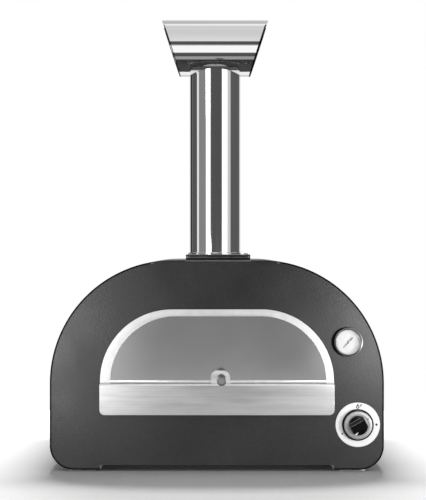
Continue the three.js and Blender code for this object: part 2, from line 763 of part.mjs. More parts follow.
// Thermometer. It hangs a little loose in its hole, so its face looks slightly to the left.
function makeThermometer() {
  const x = halfBody - thermometerInset;
  const z = bodyHeight * thermometerHeightShare;
  const gauge = new THREE.Group();
  gauge.position.set(x, frontY, z);
  gauge.rotation.z = thermometerTilt;
  oven.add(gauge);
  const back = caseBackRadius * Math.sin(Math.abs(thermometerTilt)) + seat;
  const front = back + caseDepth;
  const bore = caseRadius - caseRim;
  const floor = back + caseBackWall;
  const cup = turnedFront([[0, back], [caseBackRadius, back], [caseRadius, floor], [caseRadius, front],
    [bore, front], [bore, floor], [0, floor]], 0, 0, 0);
  piece('thermometer_case', cup, mirrorSteel, gauge);
  const dialFront = floor + seat + dialThickness;
  piece('thermometer_dial', turnedFront(rodProfile(bore - seat, floor + seat, dialFront), 0, 0, 0),
    dialWhite, gauge);

  const hub = turnedFront(rodProfile(needleHubRadius, dialFront + seat, dialFront + seat + needleHubHeight),
    0, 0, 0, smallTurnSteps);
  const blade = new THREE.Shape();
  blade.moveTo(needleTip, 0);
  blade.lineTo(0, needleWidth / 2);
  blade.lineTo(-needleTail, needleWidth / 2);
  blade.lineTo(-needleTail, -needleWidth / 2);
  blade.lineTo(0, -needleWidth / 2);
  const bladeY = -dialFront - seat - needleHubHeight / 2;
  const needle = piece('thermometer_needle', hub.add(slab(blade, bladeY - needleThickness, bladeY)),
    blackSteel, gauge);
  needle.rotation.y = -needleAngle;

  const glassFront = front - glassInset;
  piece('thermometer_glass', turnedFront(rodProfile(bore - seat, glassFront - glassThickness, glassFront),
    0, 0, 0), clearGlass, gauge);
  piece('thermometer_stem', turnedFront(rodProfile(stemProbeRadius, -stemProbeLength, back - seat),
    0, 0, 0, smallTurnSteps), zincSteel, gauge);
  piece('thermometer_nut', turnedFront(tubeProfile(probeHoleRadius, probeNutRadius,
    -plateWall - seat - probeNutThickness, -plateWall - seat), x, frontY, z, hexSides), brass);
}

// Flue
function makeCollar() {
  const half = collarWidth / 2;
  [['collar_base', bodyHeight + seat], ['collar_plate', collarTop - collarPlateThickness]].forEach(
    ([name, low]) => {
      const high = low + collarPlateThickness;
      const square = block([collarShift - half, collarShift + half], [flueY - half, flueY + half],
        [low, high]);
      const hole = turnedUp(rodProfile(spigotOuter + seat, low - overrun, high + overrun), flueShift, flueY);
      piece(name, cut(square, [hole, ...collarScrewHoles(low - overrun, high + overrun)]), blackSteel);
    });
  const headLow = collarTop + seat;
  collarScrews.forEach(([x, y], index) => {
    const screw = turnedUp([[0, bodyHeight - shellWall - screwLength], [screwShankRadius,
      bodyHeight - shellWall - screwLength], [screwShankRadius, headLow], [screwHeadRadius, headLow],
    [screwHeadRadius / 2, headLow + screwHeadHeight], [0, headLow + screwHeadHeight]], x, y, smallTurnSteps);
    piece(`collar_screw_${index + 1}`, screw, zincSteel);
  });
  const ringLow = collarTop + seat;
  const ringInner = pipeRadius + seat;
  piece('flue_ring', turnedUp(tubeProfile(ringInner, ringInner + flueRingWidth, ringLow,
    ringLow + flueRingHeight), flueShift, flueY), mirrorSteel);
}

function capOval(grown, halfLength) {
  return beam(ellipse(flueY, capMiddle, capDepth / 2 + grown, capHeight / 2 + grown),
    flueShift - halfLength, flueShift + halfLength, turnSteps / 2);
}

function makeFlue() {
  const roof = chamberTop + vaultWall + seat;
  const spigotTop = collarTop + spigotRise;
  const spigot = turnedUp([[spigotInner, roof], [spigotFlangeRadius, roof],
    [spigotFlangeRadius, roof + spigotFlangeThickness], [spigotOuter, roof + spigotFlangeThickness],
    [spigotOuter, spigotTop], [spigotInner, spigotTop], [spigotInner, roof]], flueShift, flueY);
  piece('flue_spigot', spigot, zincSteel);

  const longest = Math.max(capTopLength, capBottomLength);
  const tube = turnedUp(tubeProfile(pipeInner, pipeRadius, collarTop + seat, capMiddle), flueShift, flueY);
  piece('flue_pipe', tube.subtract(capOval(seat, longest)), mirrorSteel);

  const neckLow = capBottom - capNeckLength;
  const neck = turnedUp(rodProfile(spigotOuter, neckLow, capMiddle), flueShift, flueY);
  const neckBore = turnedUp(rodProfile(spigotInner, neckLow - overrun, capMiddle), flueShift, flueY);
  const barrel = cut(joined([capOval(0, longest), neck]), [capOval(-capWall, longest + overrun), neckBore]);
  const lean = (capTopLength - capBottomLength) / 2 / capHeight;
  const ends = new THREE.Shape();
  const low = neckLow - overrun;
  const lowHalf = capBottomLength / 2 + (low - capBottom) * lean;
  const high = capBottom + capHeight + overrun;
  const highHalf = capBottomLength / 2 + (high - capBottom) * lean;
  ends.moveTo(flueShift - lowHalf, low);
  ends.lineTo(flueShift + lowHalf, low);
  ends.lineTo(flueShift + highHalf, high);
  ends.lineTo(flueShift - highHalf, high);
  const trapezoid = slab(ends, flueY - capDepth / 2 - overrun, flueY + capDepth / 2 + overrun);
  piece('flue_cap', barrel.intersect(trapezoid), mirrorSteel);
}

makeShell();
makeFrontPlate();
makeRearCover();
makeBase();
makeTrim();
makeApron();
makeDoor();
makeVault();
makeFloor();
makeBurner();
makeGasLine();
makeKnob();
makeThermometer();
makeCollar();
makeFlue();

export default oven;
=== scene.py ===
# Portable gas pizza oven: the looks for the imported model. Mesh sizes are in millimetres until finishPiece.
import math

import bmesh
import bpy
from bmesh.types import BMEdge, BMFace, BMVert
from mathutils import Matrix, Vector


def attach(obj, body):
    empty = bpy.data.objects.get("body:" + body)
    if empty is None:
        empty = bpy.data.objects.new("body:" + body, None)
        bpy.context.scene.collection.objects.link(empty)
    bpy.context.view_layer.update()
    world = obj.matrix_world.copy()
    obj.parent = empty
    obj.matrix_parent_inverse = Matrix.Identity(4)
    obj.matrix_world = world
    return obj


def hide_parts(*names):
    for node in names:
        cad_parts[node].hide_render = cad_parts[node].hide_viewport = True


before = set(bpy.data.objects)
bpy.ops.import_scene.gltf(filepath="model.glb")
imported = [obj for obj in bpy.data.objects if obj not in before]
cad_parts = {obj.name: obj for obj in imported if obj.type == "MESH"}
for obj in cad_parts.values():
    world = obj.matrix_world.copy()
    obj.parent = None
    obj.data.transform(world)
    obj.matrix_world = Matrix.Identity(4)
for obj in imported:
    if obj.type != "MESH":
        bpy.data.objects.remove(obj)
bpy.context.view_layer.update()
print("frame loaded")

mm = 0.001
looks = {}
upwards = Vector((0, 0, 1))
forwards = Vector((0, -1, 0))
knobCentre = (320.378, -253.0, 105.611)
gaugeCentre = (300.5, -253.0, 294.0)
handleCentre = (10.0, -253.0, 216.0)
flueCentre = (-4.0, -103.0, 0)


# Mesh helpers

def only(parts, kind):
    return [part for part in parts if isinstance(part, kind)]


def isAt(value, target):
    return abs(value - target) < 0.01


def faceOut(work):
    bmesh.ops.recalc_face_normals(work, faces=work.faces[:])


def roundOff(work, parts, radius, segments, affect="EDGES"):
    bmesh.ops.bevel(work, geom=parts, offset=radius, offset_type="OFFSET", segments=segments, profile=0.5,
                    affect=affect, material=-1)


# The corners of an upright rectangle as x, z and radius: first the two low ones, then the two high ones
def boxCorners(left, right, low, high, lowRadius=0.0, highRadius=0.0):
    return [(left, low, lowRadius), (right, low, lowRadius),
            (right, high, highRadius), (left, high, highRadius)]


# A closed outline in X and Z with rounded corners
def roundedOutline(corners, segments):
    work = bmesh.new()
    verts = [work.verts.new((x, 0, z)) for x, z, radius in corners]
    work.faces.new(verts)
    for vert, corner in zip(verts, corners):
        if corner[2] > 0:
            roundOff(work, [vert], corner[2], segments, "VERTICES")
    outline = [(loop.vert.co.x, loop.vert.co.z) for loop in work.faces[:][0].loops]
    work.free()
    return outline


def archOutline(half, bottom, top, radius, middle=0.0, segments=24):
    return roundedOutline(boxCorners(middle - half, middle + half, bottom, top, 0, radius), segments)


def addLoop(work, outline, y):
    ring = [work.verts.new((x, y, z)) for x, z in outline]
    return [work.edges.new((ring[i - 1], ring[i])) for i in range(len(ring))]


def addFace(work, outline, y):
    return work.faces.new([work.verts.new((x, y, z)) for x, z in outline])


# A sheet inside the first outline, with the other outlines as its holes
def addSheet(work, outlines, y, thickness, facing):
    edges = []
    for outline in outlines:
        edges += addLoop(work, outline, y)
    filled = bmesh.ops.triangle_fill(work, edges=edges, use_beauty=True, normal=(0, facing, 0))
    bmesh.ops.solidify(work, geom=only(filled["geom"], BMFace), thickness=thickness)


# Walls from each ring of edges to the next, and from the last one back to the first
def addRings(work, rings):
    for first, second in zip(rings, rings[1:] + rings[:1]):
        bmesh.ops.bridge_loops(work, edges=first + second)


def move(work, verts, way):
    bmesh.ops.translate(work, vec=way, verts=verts)


# Extrudes edges or faces by a vector and returns the new parts.
def pull(work, parts, way):
    if isinstance(parts[0], BMEdge):
        pulled = bmesh.ops.extrude_edge_only(work, edges=parts)["geom"]
    else:
        pulled = bmesh.ops.extrude_face_region(work, geom=parts)["geom"]
    move(work, only(pulled, BMVert), way)
    return pulled


# Pulls a face back and takes its rear side out.
def pullOpen(work, nearY, farY):
    pull(work, work.faces[:], (0, farY - nearY, 0))
    rear = [face for face in work.faces if isAt(face.calc_center_median().y, farY)]
    bmesh.ops.delete(work, geom=rear, context="FACES_ONLY")


def cutPlane(work, place, way, **clear):
    return bmesh.ops.bisect_plane(work, geom=work.verts[:] + work.edges[:] + work.faces[:], dist=0.0001,
                                  plane_co=place, plane_no=way, **clear)


# Turns an open skin outwards, judged by its face furthest along a way, and gives it a wall.
def addWall(work, way, thickness):
    furthest = max(work.faces, key=lambda face: face.calc_center_median().dot(way))
    if furthest.normal.dot(way) < 0:
        bmesh.ops.reverse_faces(work, faces=work.faces[:])
    bmesh.ops.solidify(work, geom=work.faces[:], thickness=thickness)


# A profile of radius and reach spun a full turn, about an upright line or one that points to the front.
def addTurned(work, profile, centre, way, steps):
    x, y, z = centre
    if way == "up":
        chain = [work.verts.new((x + radius, y, z + reach)) for radius, reach in profile]
        axis = (0, 0, 1)
    else:
        chain = [work.verts.new((x + radius, y - reach, z)) for radius, reach in profile]
        axis = (0, 1, 0)
    edges = [work.edges.new(pair) for pair in zip(chain, chain[1:])]
    bmesh.ops.spin(work, geom=chain + edges, cent=centre, axis=axis, angle=math.tau, steps=steps,
                   use_merge=True)
    bmesh.ops.remove_doubles(work, verts=work.verts[:], dist=0.001)
    faceOut(work)


def rodProfile(radius, low, high):
    return [(0, low), (radius, low), (radius, high), (0, high)]


def addBlock(work, low, high, roundness=0.0, segments=2):
    made = bmesh.ops.create_cube(work, size=1)["verts"]
    bmesh.ops.scale(work, vec=[b - a for a, b in zip(low, high)], verts=made)
    move(work, made, [(a + b) / 2 for a, b in zip(low, high)])
    if roundness > 0:
        roundOff(work, list({edge for vert in made for edge in vert.link_edges}), roundness, segments)


# An outline pulled from one reach to another, turned about Y and moved to its centre
def addFrontSolid(work, corners, low, high, centre, turn=0.0):
    before = set(work.verts)
    face = addFace(work, roundedOutline(corners, 4), 0)
    pull(work, [face], (0, -(high - low), 0))
    made = [vert for vert in work.verts if vert not in before]
    move(work, made, (0, -low, 0))
    bmesh.ops.rotate(work, cent=(0, 0, 0), matrix=Matrix.Rotation(-math.radians(turn), 3, "Y"), verts=made)
    move(work, made, centre)
    return made


# A place at an angle round a centre, as seen from the front, and at a reach before it
def placeRound(centre, radius, degrees, reach=0.0):
    turn = math.radians(degrees)
    return centre[0] + radius * math.cos(turn), centre[1] - reach, centre[2] + radius * math.sin(turn)


def addObject(name, data):
    made = bpy.data.objects.new(name, data)
    bpy.context.scene.collection.objects.link(made)
    return made


# Turns the work, in millimetres, into an object in metres.
def addMeshObject(work, name):
    bmesh.ops.scale(work, vec=(mm, mm, mm), verts=work.verts[:])
    mesh = bpy.data.meshes.new(name)
    work.to_mesh(mesh)
    work.free()
    return addObject(name, mesh)


def smoothMesh(mesh):
    mesh.shade_smooth()
    mesh.set_sharp_from_angle(angle=math.radians(32))


def finishPiece(work, name, look, slotName, *replaced, body="casing", edge=0.0, edgeSegments=2):
    piece = addMeshObject(work, name)
    smoothMesh(piece.data)
    piece.data.materials.append(looks[look])
    if edge > 0:
        bevel = piece.modifiers.new("edge", "BEVEL")
        bevel.width = edge * mm
        bevel.segments = edgeSegments
        bevel.limit_method = "ANGLE"
        bevel.angle_limit = math.radians(40)
        bevel.harden_normals = True
    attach(piece, body)
    if replaced:
        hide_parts(*replaced)
    return piece


def turnedPiece(profile, centre, way, steps, *finish, **more):
    work = bmesh.new()
    addTurned(work, profile, centre, way, steps)
    return finishPiece(work, *finish, **more)


def blockPiece(low, high, roundness, segments, *finish, **more):
    work = bmesh.new()
    addBlock(work, low, high, roundness, segments)
    return finishPiece(work, *finish, **more)


# Gives one more look to the faces that chosen picks by their normal and centre.
def paintFaces(piece, look, chosen):
    piece.data.materials.append(looks[look])
    for face in piece.data.polygons:
        if chosen(face.normal, face.center):
            face.material_index = len(piece.data.materials) - 1


# Cuts the work, still in millimetres, out of a finished piece.
def cutAway(piece, work):
    cutter = addMeshObject(work, "cutter")
    boolean = piece.modifiers.new("cut", "BOOLEAN")
    boolean.object = cutter
    boolean.operation = "DIFFERENCE"
    boolean.solver = "EXACT"
    graph = bpy.context.evaluated_depsgraph_get()
    piece.data = bpy.data.meshes.new_from_object(piece.evaluated_get(graph), depsgraph=graph)
    piece.modifiers.remove(boolean)
    smoothMesh(piece.data)
    bpy.data.objects.remove(cutter)


# Node helpers and shared effects

# Links an input where its value is a socket, and sets it otherwise.
def feed(tree, node, inputs):
    for key, value in inputs.items():
        if isinstance(value, bpy.types.NodeSocket):
            tree.links.new(value, node.inputs[key])
        else:
            node.inputs[key].default_value = value


def addNode(tree, kind, inputs, **settings):
    node = tree.nodes.new("ShaderNode" + kind)
    for key, value in settings.items():
        setattr(node, key, value)
    feed(tree, node, inputs)
    return node.outputs


def maths(tree, operation, *values):
    return addNode(tree, "Math", dict(enumerate(values)), operation=operation)["Value"]


def blend(tree, factor, first, second, kind="FLOAT"):
    mixed = addNode(tree, "Mix", {"Factor": factor, "A": first, "B": second}, data_type=kind)
    return mixed["Result"]


def spread(tree, value, low, high, fromLow=0.3, fromHigh=0.7):
    return addNode(tree, "MapRange", {"Value": value, "From Min": fromLow, "From Max": fromHigh,
                                      "To Min": low, "To Max": high})["Result"]


def addNoise(tree, vector, scale, detail, roughness):
    return addNode(tree, "TexNoise", {"Vector": vector, "Scale": scale, "Detail": detail,
                                      "Roughness": roughness})["Fac"]


def placeGroup(tree, group, **inputs):
    return addNode(tree, "Group", inputs, node_tree=group)


def newGroup(name, inputs, outputs):
    group = bpy.data.node_groups.new(name, "ShaderNodeTree")
    for label, value in inputs.items():
        kind = "NodeSocketVector" if isinstance(value, tuple) else "NodeSocketFloat"
        socket = group.interface.new_socket(name=label, in_out="INPUT", socket_type=kind)
        socket.default_value = value
    for label in outputs:
        group.interface.new_socket(name=label, in_out="OUTPUT", socket_type="NodeSocketFloat")
    return group, group.nodes.new("NodeGroupInput").outputs, group.nodes.new("NodeGroupOutput")


# Fine grain with a slower cloudiness over it
def makeSpeckle():
    group, given, result = newGroup("speckle", {"Vector": (0, 0, 0), "Grain": 900, "Cloud": 6},
                                    ("Fine", "Clouds"))
    feed(group, result, {"Fine": addNoise(group, given["Vector"], given["Grain"], 2.0, 0.55),
                         "Clouds": addNoise(group, given["Vector"], given["Cloud"], 4.0, 0.6)})
    return group


# Brush lines: noise drawn out along one way by a stretch of the place it is read at
def makeBrushed():
    group, given, result = newGroup("brushed", {"Vector": (0, 0, 0), "Stretch": (8, 8, 900), "Dents": 3},
                                    ("Lines", "Dent"))
    stretched = addNode(group, "VectorMath", {0: given["Vector"], 1: given["Stretch"]}, operation="MULTIPLY")
    feed(group, result, {"Lines": addNoise(group, stretched["Vector"], 1.0, 3.0, 0.6),
                         "Dent": addNoise(group, given["Vector"], given["Dents"], 1.0, 0.4)})
    return group


# Rings of a lathe finish, by the distance from a line along Y
def makeRings():
    group, given, result = newGroup("rings", {"Vector": (0, 0, 0), "Pitch": 900}, ("Lines",))
    flat = addNode(group, "VectorMath", {0: given["Vector"], 1: (1, 0, 1)}, operation="MULTIPLY")
    length = addNode(group, "VectorMath", {0: flat["Vector"]}, operation="LENGTH")
    scaled = maths(group, "MULTIPLY", length["Value"], given["Pitch"])
    noise = addNode(group, "TexNoise", {"W": scaled, "Scale": 1.0, "Detail": 2.0}, noise_dimensions="1D")
    feed(group, result, {"Lines": noise["Fac"]})
    return group


speckle = makeSpeckle()
brushed = makeBrushed()
rings = makeRings()


def startMaterial(name):
    material = bpy.data.materials.new(name)
    material.use_nodes = True
    looks[name] = material
    tree = material.node_tree
    return tree, tree.nodes["Principled BSDF"], addNode(tree, "TexCoord", {})["Object"]


# A shade is one number for a grey, or three for a colour.
def colour(shade):
    return (*shade, 1) if isinstance(shade, tuple) else (shade, shade, shade, 1)


# Colour by tone, roughness by wear, and bumps, each with its height, strength and distance
def finishLook(tree, shader, tone, dark, light, wear, roughness, roughRange, bumps, metallic=0.0):
    normal = {}
    for height, strength, distance in bumps:
        bump = addNode(tree, "Bump", {"Height": height, "Strength": strength, "Distance": distance, **normal})
        normal = {"Normal": bump["Normal"]}
    feed(tree, shader, {
        "Base Color": blend(tree, tone, colour(dark), colour(light), "RGBA"), "Metallic": metallic,
        "Roughness": spread(tree, wear, roughness - roughRange, roughness + roughRange), **normal})


def coatLook(name, dark, light, roughness, grain=900, cloud=6, bump=0.2, shine=0.5):
    tree, shader, vector = startMaterial(name)
    look = placeGroup(tree, speckle, Vector=vector, Grain=grain, Cloud=cloud)
    tone = maths(tree, "ADD", spread(tree, look["Fine"], 0, 0.65), spread(tree, look["Clouds"], 0, 0.35))
    feed(tree, shader, {"Specular IOR Level": shine})
    finishLook(tree, shader, tone, dark, light, look["Clouds"], roughness, 0.06,
               [(look["Fine"], bump, 0.0003)])


def steelLook(name, dark, light, roughness, stretch, lines, dent=0.0, dents=3.0, roughRange=0.05,
              patches=None, metallic=1.0):
    tree, shader, vector = startMaterial(name)
    look = placeGroup(tree, brushed, Vector=vector, Stretch=stretch, Dents=dents)
    tone = spread(tree, look["Lines"], 0, 1)
    if patches:
        wide = placeGroup(tree, brushed, Vector=vector, Stretch=patches)
        tone = blend(tree, 0.65, tone, spread(tree, wide["Lines"], 0, 1))
    bumps = [(look["Lines"], lines, 0.00005)]
    if dent > 0:
        bumps.append((look["Dent"], dent, 0.01))
    finishLook(tree, shader, tone, dark, light, look["Lines"], roughness, roughRange, bumps, metallic)


def turnedLook(name, dark, light, roughness, centre, metallic, pitch):
    tree, shader, vector = startMaterial(name)
    origin = [-value * mm for value in centre]
    moved = addNode(tree, "Mapping", {"Vector": vector, "Location": origin})
    look = placeGroup(tree, rings, Vector=moved["Vector"], Pitch=pitch)
    finishLook(tree, shader, spread(tree, look["Lines"], 0, 1), dark, light, look["Lines"], roughness, 0.05,
               [(look["Lines"], 0.15, 0.0001)], metallic)


def glassLook(name):
    tree, shader, vector = startMaterial(name)
    look = placeGroup(tree, speckle, Vector=vector, Grain=60, Cloud=20)
    feed(tree, shader, {"Alpha": 0.2, "Base Color": (1, 1, 1, 1), "Transmission Weight": 1.0, "IOR": 1.2,
                        "Roughness": spread(tree, look["Clouds"], 0.0, 0.03)})


coatLook("anthraciteCoat", 0.003, 0.019, 0.34, grain=250, cloud=7, bump=0.7, shine=0.7)
# Near-black painted shade, used on the shell's rims, on the cowl's end bands and on the disc behind the
# thermometer
coatLook("edgeBlack", 0.001, 0.003, 0.5, shine=0.05)
# A lighter coat: painted highlight on the shell's top front edge
coatLook("paintedEdgeHighlight", 0.09, 0.15, 0.4, grain=300, bump=0.1, shine=0.4)
coatLook("blackSteel", 0.012, 0.022, 0.5, grain=600)
coatLook("blackPlastic", 0.001, 0.003, 0.25, grain=1500, bump=0.02, shine=0.1)
coatLook("paintedFlankSheen", 0.02, 0.035, 0.4, grain=1500, bump=0.02, shine=0.2)
coatLook("paintedGripHighlight", 0.10, 0.16, 0.4, grain=700, bump=0.05, shine=0.3)
steelLook("mirrorSteel", 0.82, 0.88, 0.06, (60, 60, 2), 0.02, 0.01, 8, 0.02)
steelLook("cowlSteel", 0.82, 0.88, 0.06, (2, 60, 60), 0.0, 0.004, 8, 0.02)
steelLook("trimSteel", 0.86, 0.93, 0.32, (60, 60, 60), 0.03, 0.0, 3, 0.03, metallic=0.5)
steelLook("apronSteel", 0.50, 0.79, 0.32, (4, 4, 420), 0.02, 0.03, 5, 0.04, patches=(5, 5, 34), metallic=0.8)
steelLook("doorSteel", 0.56, 0.62, 0.08, (6, 6, 6), 0.01, 0.002, 4, 0.01)
steelLook("gaugeSteel", 0.34, 0.42, 0.4, (90, 90, 90), 0.02)
steelLook("satinSteel", 0.42, 0.52, 0.38, (12, 400, 12), 0.1)
steelLook("zincSteel", 0.36, 0.46, 0.42, (90, 90, 90), 0.1)
steelLook("chamberSteel", 0.40, 0.5, 0.4, (300, 8, 300), 0.1)
coatLook("ovenStone", (0.50, 0.43, 0.33), (0.62, 0.55, 0.43), 0.85, grain=260, bump=0.5)
coatLook("woolBlanket", (0.66, 0.62, 0.53), (0.80, 0.76, 0.67), 0.95, grain=350, bump=0.8)
coatLook("fibreBoard", (0.62, 0.60, 0.55), (0.72, 0.70, 0.65), 0.9, grain=500, bump=0.3)
steelLook("seamSealer", 0.4, 0.95, 0.4, (160, 160, 20), 0.1, metallic=0.3)
steelLook("plainBrass", (0.52, 0.36, 0.13), (0.6, 0.43, 0.17), 0.3, (80, 80, 80), 0.05)
coatLook("ceramic", (0.80, 0.78, 0.74), (0.86, 0.84, 0.80), 0.25, grain=500, bump=0.02)
coatLook("dialEnamel", 0.84, 0.88, 0.35, grain=1200, bump=0.02)
coatLook("needlePaint", 0.15, 0.20, 0.5, grain=1500, bump=0.02)
for ink, dark, light in (("markInk", 0.02, 0.04), ("scaleInk", 0.36, 0.44), ("arcInk", 0.50, 0.56),
                         ("tickInk", 0.62, 0.70)):
    coatLook(ink, dark, light, 0.6, grain=1500, bump=0.05)
coatLook("glideFelt", 0.72, 0.84, 0.85, grain=700, bump=0.4)
turnedLook("knobPlateSteel", 0.84, 0.88, 0.35, knobCentre, 0.1, 300)
turnedLook("knobSkirtSteel", 0.30, 0.42, 0.48, knobCentre, 0.7, 700)
turnedLook("handleSteel", 0.15, 0.21, 0.35, handleCentre, 1.0, 900)
turnedLook("handleEndSteel", 0.32, 0.40, 0.35, handleCentre, 0.6, 900)
glassLook("gaugeGlass")
print("materials made")


# Casing
casing = dict(half=380.0, bottom=3.0, top=480.0, topRadius=280.0, footRadius=55.0, nearY=-253.0, farY=367.0,
              wall=3.2, plate=2.0, gap=0.4, notchHalf=266.0, notchTop=14.0, steps=36,
              highlightLeft=-72.0, highlightRight=78.0, paintedShadeBelow=474.5)
throat = dict(half=240.3, bottom=198.6, top=347.3, radius=142.3)


def makeShell():
    c = casing
    corners = boxCorners(-c["half"], c["half"], c["bottom"], c["top"], c["footRadius"], c["topRadius"])
    work = bmesh.new()
    rim = addLoop(work, roundedOutline(corners, c["steps"]), c["nearY"])
    pull(work, rim, (0, c["farY"] - c["nearY"], 0))
    for x in (-c["notchHalf"], c["highlightLeft"], c["highlightRight"], c["notchHalf"]):
        cutPlane(work, (x, 0, 0), (1, 0, 0))
    centres = [(face, face.calc_center_median()) for face in work.faces]
    notch = [face for face, centre in centres if abs(centre.x) < c["notchHalf"] and centre.z < c["notchTop"]]
    bmesh.ops.delete(work, geom=notch, context="FACES")
    addWall(work, upwards, c["wall"])
    shell = finishPiece(work, "outerShell", "anthraciteCoat", "dark_paint", "outer_shell", edge=0.3)
    left, right, black = [c[key] * mm for key in ("highlightLeft", "highlightRight", "paintedShadeBelow")]
    # The rims facing front and back, below the flat top, are painted near-black: painted shade for the dark
    # gap line round the plate
    paintFaces(shell, "edgeBlack", lambda normal, centre: abs(normal.y) > 0.5 and centre.z < black)
    # The front rim of the flat top, between two cuts, gets the lighter coat: a painted highlight of the edge
    # catching light
    paintFaces(shell, "paintedEdgeHighlight",
               lambda normal, centre: normal.y < -0.5 and centre.z > black and left < centre.x < right)


def plateOutline():
    c = casing
    inset = c["wall"] + c["gap"]
    half = c["half"] - inset
    low = c["bottom"] + inset
    top = c["top"] - inset
    foot = c["footRadius"] - inset
    shoulder = c["topRadius"] - inset
    notch = c["notchHalf"]
    return roundedOutline([
        (-notch, c["notchTop"], 0), (-notch, low, 0), (-half, low, foot), (-half, top, shoulder),
        (half, top, shoulder), (half, low, foot), (notch, low, 0), (notch, c["notchTop"], 0)], c["steps"])


def makeFrontPlate():
    work = bmesh.new()
    addSheet(work, [plateOutline(), archOutline(**throat)], casing["nearY"], casing["plate"], -1)
    finishPiece(work, "frontPlate", "anthraciteCoat", "dark_paint", "front_plate", edge=0.8)


vents = dict(columns=(-190.0, 0.0, 190.0), lowest=144.0, pitch=20.0, rows=5, half=45.0, height=7.0)


def makeRearCover():
    v = vents
    work = bmesh.new()
    outlines = [plateOutline()]
    reach = v["height"] / 2
    rounding = reach - 0.01
    for x in v["columns"]:
        for row in range(v["rows"]):
            z = v["lowest"] + row * v["pitch"]
            corners = boxCorners(x - v["half"], x + v["half"], z - reach, z + reach, rounding, rounding)
            outlines.append(roundedOutline(corners, 6))
    addSheet(work, outlines, casing["farY"], casing["plate"], 1)
    finishPiece(work, "rearCover", "anthraciteCoat", "dark_paint", "rear_cover", edge=0.3)


screws = dict(head=4.5, rise=2.6, shank=2.0, length=9.0, recess=1.2, rearLift=0.3, rearX=358,
              rearRows=(77, 200))


# A screw with a domed head. Side is -1 where its head points to the back.
def makeScrew(name, node, centre, way, side=1, lift=0.0):
    s = screws
    head = s["head"]
    rise = s["rise"]
    floor = rise - s["recess"]
    dome = [(s["shank"], 0), (head, 0), (head * 0.93, rise * 0.45), (head * 0.72, rise * 0.8),
            (head * 0.4, rise), (head * 0.4, floor), (0, floor)]
    profile = [(0, -side * s["length"]), (s["shank"], -side * s["length"])]
    profile += [(radius, side * (lift + reach)) for radius, reach in dome]
    turnedPiece(profile, centre, way, 24, name, "zincSteel", "zinc_steel", node)


def makeRearScrews():
    places = [(x, casing["farY"], z) for z in screws["rearRows"] for x in (-screws["rearX"], screws["rearX"])]
    for number, place in enumerate(places, 1):
        makeScrew(f"rearScrew{number}", f"rear_screw_{number}", place, "front", -1, screws["rearLift"])


glides = dict(strips=((278.5, 306.9), (309.6, 338.0)), nearY=-243.0, farY=357.0, height=2.7, edge=0.6)


def makeGlides():
    g = glides
    for side, sign in (("left", -1), ("right", 1)):
        for number, strip in enumerate(g["strips"], 1):
            low, high = sorted(sign * x for x in strip)
            blockPiece((low, g["nearY"], 0.0), (high, g["farY"], g["height"]), g["edge"], 2,
                       f"glide{side.title()}{number}", "glideFelt", "pale_felt", f"glide_{side}_{number}")


makeShell()
makeFrontPlate()
makeRearCover()
makeRearScrews()
makeGlides()
print("casing made")


# Mouth and apron
mouth = dict(bandHalf=266.0, bandTop=368.0, bandRadius=164.0, throatHalf=238.0, throatTop=345.0,
             throatRadius=140.0, wall=2.0, sill=200.7, spare=20, frontY=-256.0, backY=-253.3, farY=-213.3)
apron = dict(half=266.0, low=129.2, high=200.4, nearY=-273.0, backY=-253.3, corner=12.0, bend=5.0, wall=1.5,
             landingHalf=240.0, landingY=-208.0)


def makeTrim():
    m = mouth
    wall = m["wall"]
    below = m["sill"] - m["spare"]  # cut off again at the sill
    band = archOutline(m["bandHalf"], below, m["bandTop"], m["bandRadius"])
    inner = archOutline(m["throatHalf"], below, m["throatTop"], m["throatRadius"])
    sleeve = archOutline(m["throatHalf"] + wall, below, m["throatTop"] + wall, m["throatRadius"] + wall)
    work = bmesh.new()
    addRings(work, [addLoop(work, outline, m[reach]) for outline, reach in (
        (band, "backY"), (band, "frontY"), (inner, "frontY"), (inner, "farY"), (sleeve, "farY"),
        (sleeve, "backY"))])
    cutPlane(work, (0, 0, m["sill"]), (0, 0, 1), clear_inner=True)
    bmesh.ops.holes_fill(work, edges=[edge for edge in work.edges if edge.is_boundary], sides=0)
    faceOut(work)
    finishPiece(work, "mouthTrim", "trimSteel", "mirror_steel", "mouth_trim", edge=0.9, edgeSegments=3)


def edgesAlong(work, y, z, half):
    return [edge for edge in work.edges
            if all(isAt(v.co.y, y) and isAt(v.co.z, z) and abs(v.co.x) < half + 0.01 for v in edge.verts)]


def makeApron():
    a = apron
    corners = boxCorners(-a["half"], a["half"], a["low"], a["high"])
    work = bmesh.new()
    face = addFace(work, [(x, z) for x, z, radius in corners], a["nearY"])
    roundOff(work, face.verts[:2], a["corner"], 8, "VERTICES")
    pullOpen(work, a["nearY"], a["backY"])
    roundOff(work, edgesAlong(work, a["nearY"], a["high"], a["half"]), a["bend"], 8)
    for x in (-a["landingHalf"], a["landingHalf"]):
        cutPlane(work, (x, 0, 0), (1, 0, 0))
    ledge = edgesAlong(work, a["backY"], a["high"], a["landingHalf"])
    pull(work, ledge, (0, a["landingY"] - a["backY"], 0))
    faceOut(work)
    addWall(work, forwards, a["wall"])
    panel = finishPiece(work, "apronPanel", "apronSteel", "brushed_steel", "apron", edge=0.6)
    # The upward faces of the top bend get the brighter trim steel: a painted highlight
    paintFaces(panel, "trimSteel", lambda normal, centre: normal.z > 0.2)


makeTrim()
makeApron()
print("mouth made")


# Door and handle
door = dict(middle=3.4, half=246.4, bottom=200.7, top=352.6, radius=149.0, nearY=-264.3, farY=-256.3,
            wall=1.5, lipLow=202.7, lipHigh=208.0, lipNearY=-267.6, lipFarY=-264.6,
            tabMiddle=8.0, tabHalf=21.5, tabTop=230.0, tabRadius=15.0, tabNearY=-270.9, tabFarY=-267.9)
handle = dict(rod=5.0, grip=10.75, neck=8.6, start=40.0, end=132.0, cap=7.6, bore=5.3, pocket=7.9,
              rodStart=11.6, rodEnd=127.7)


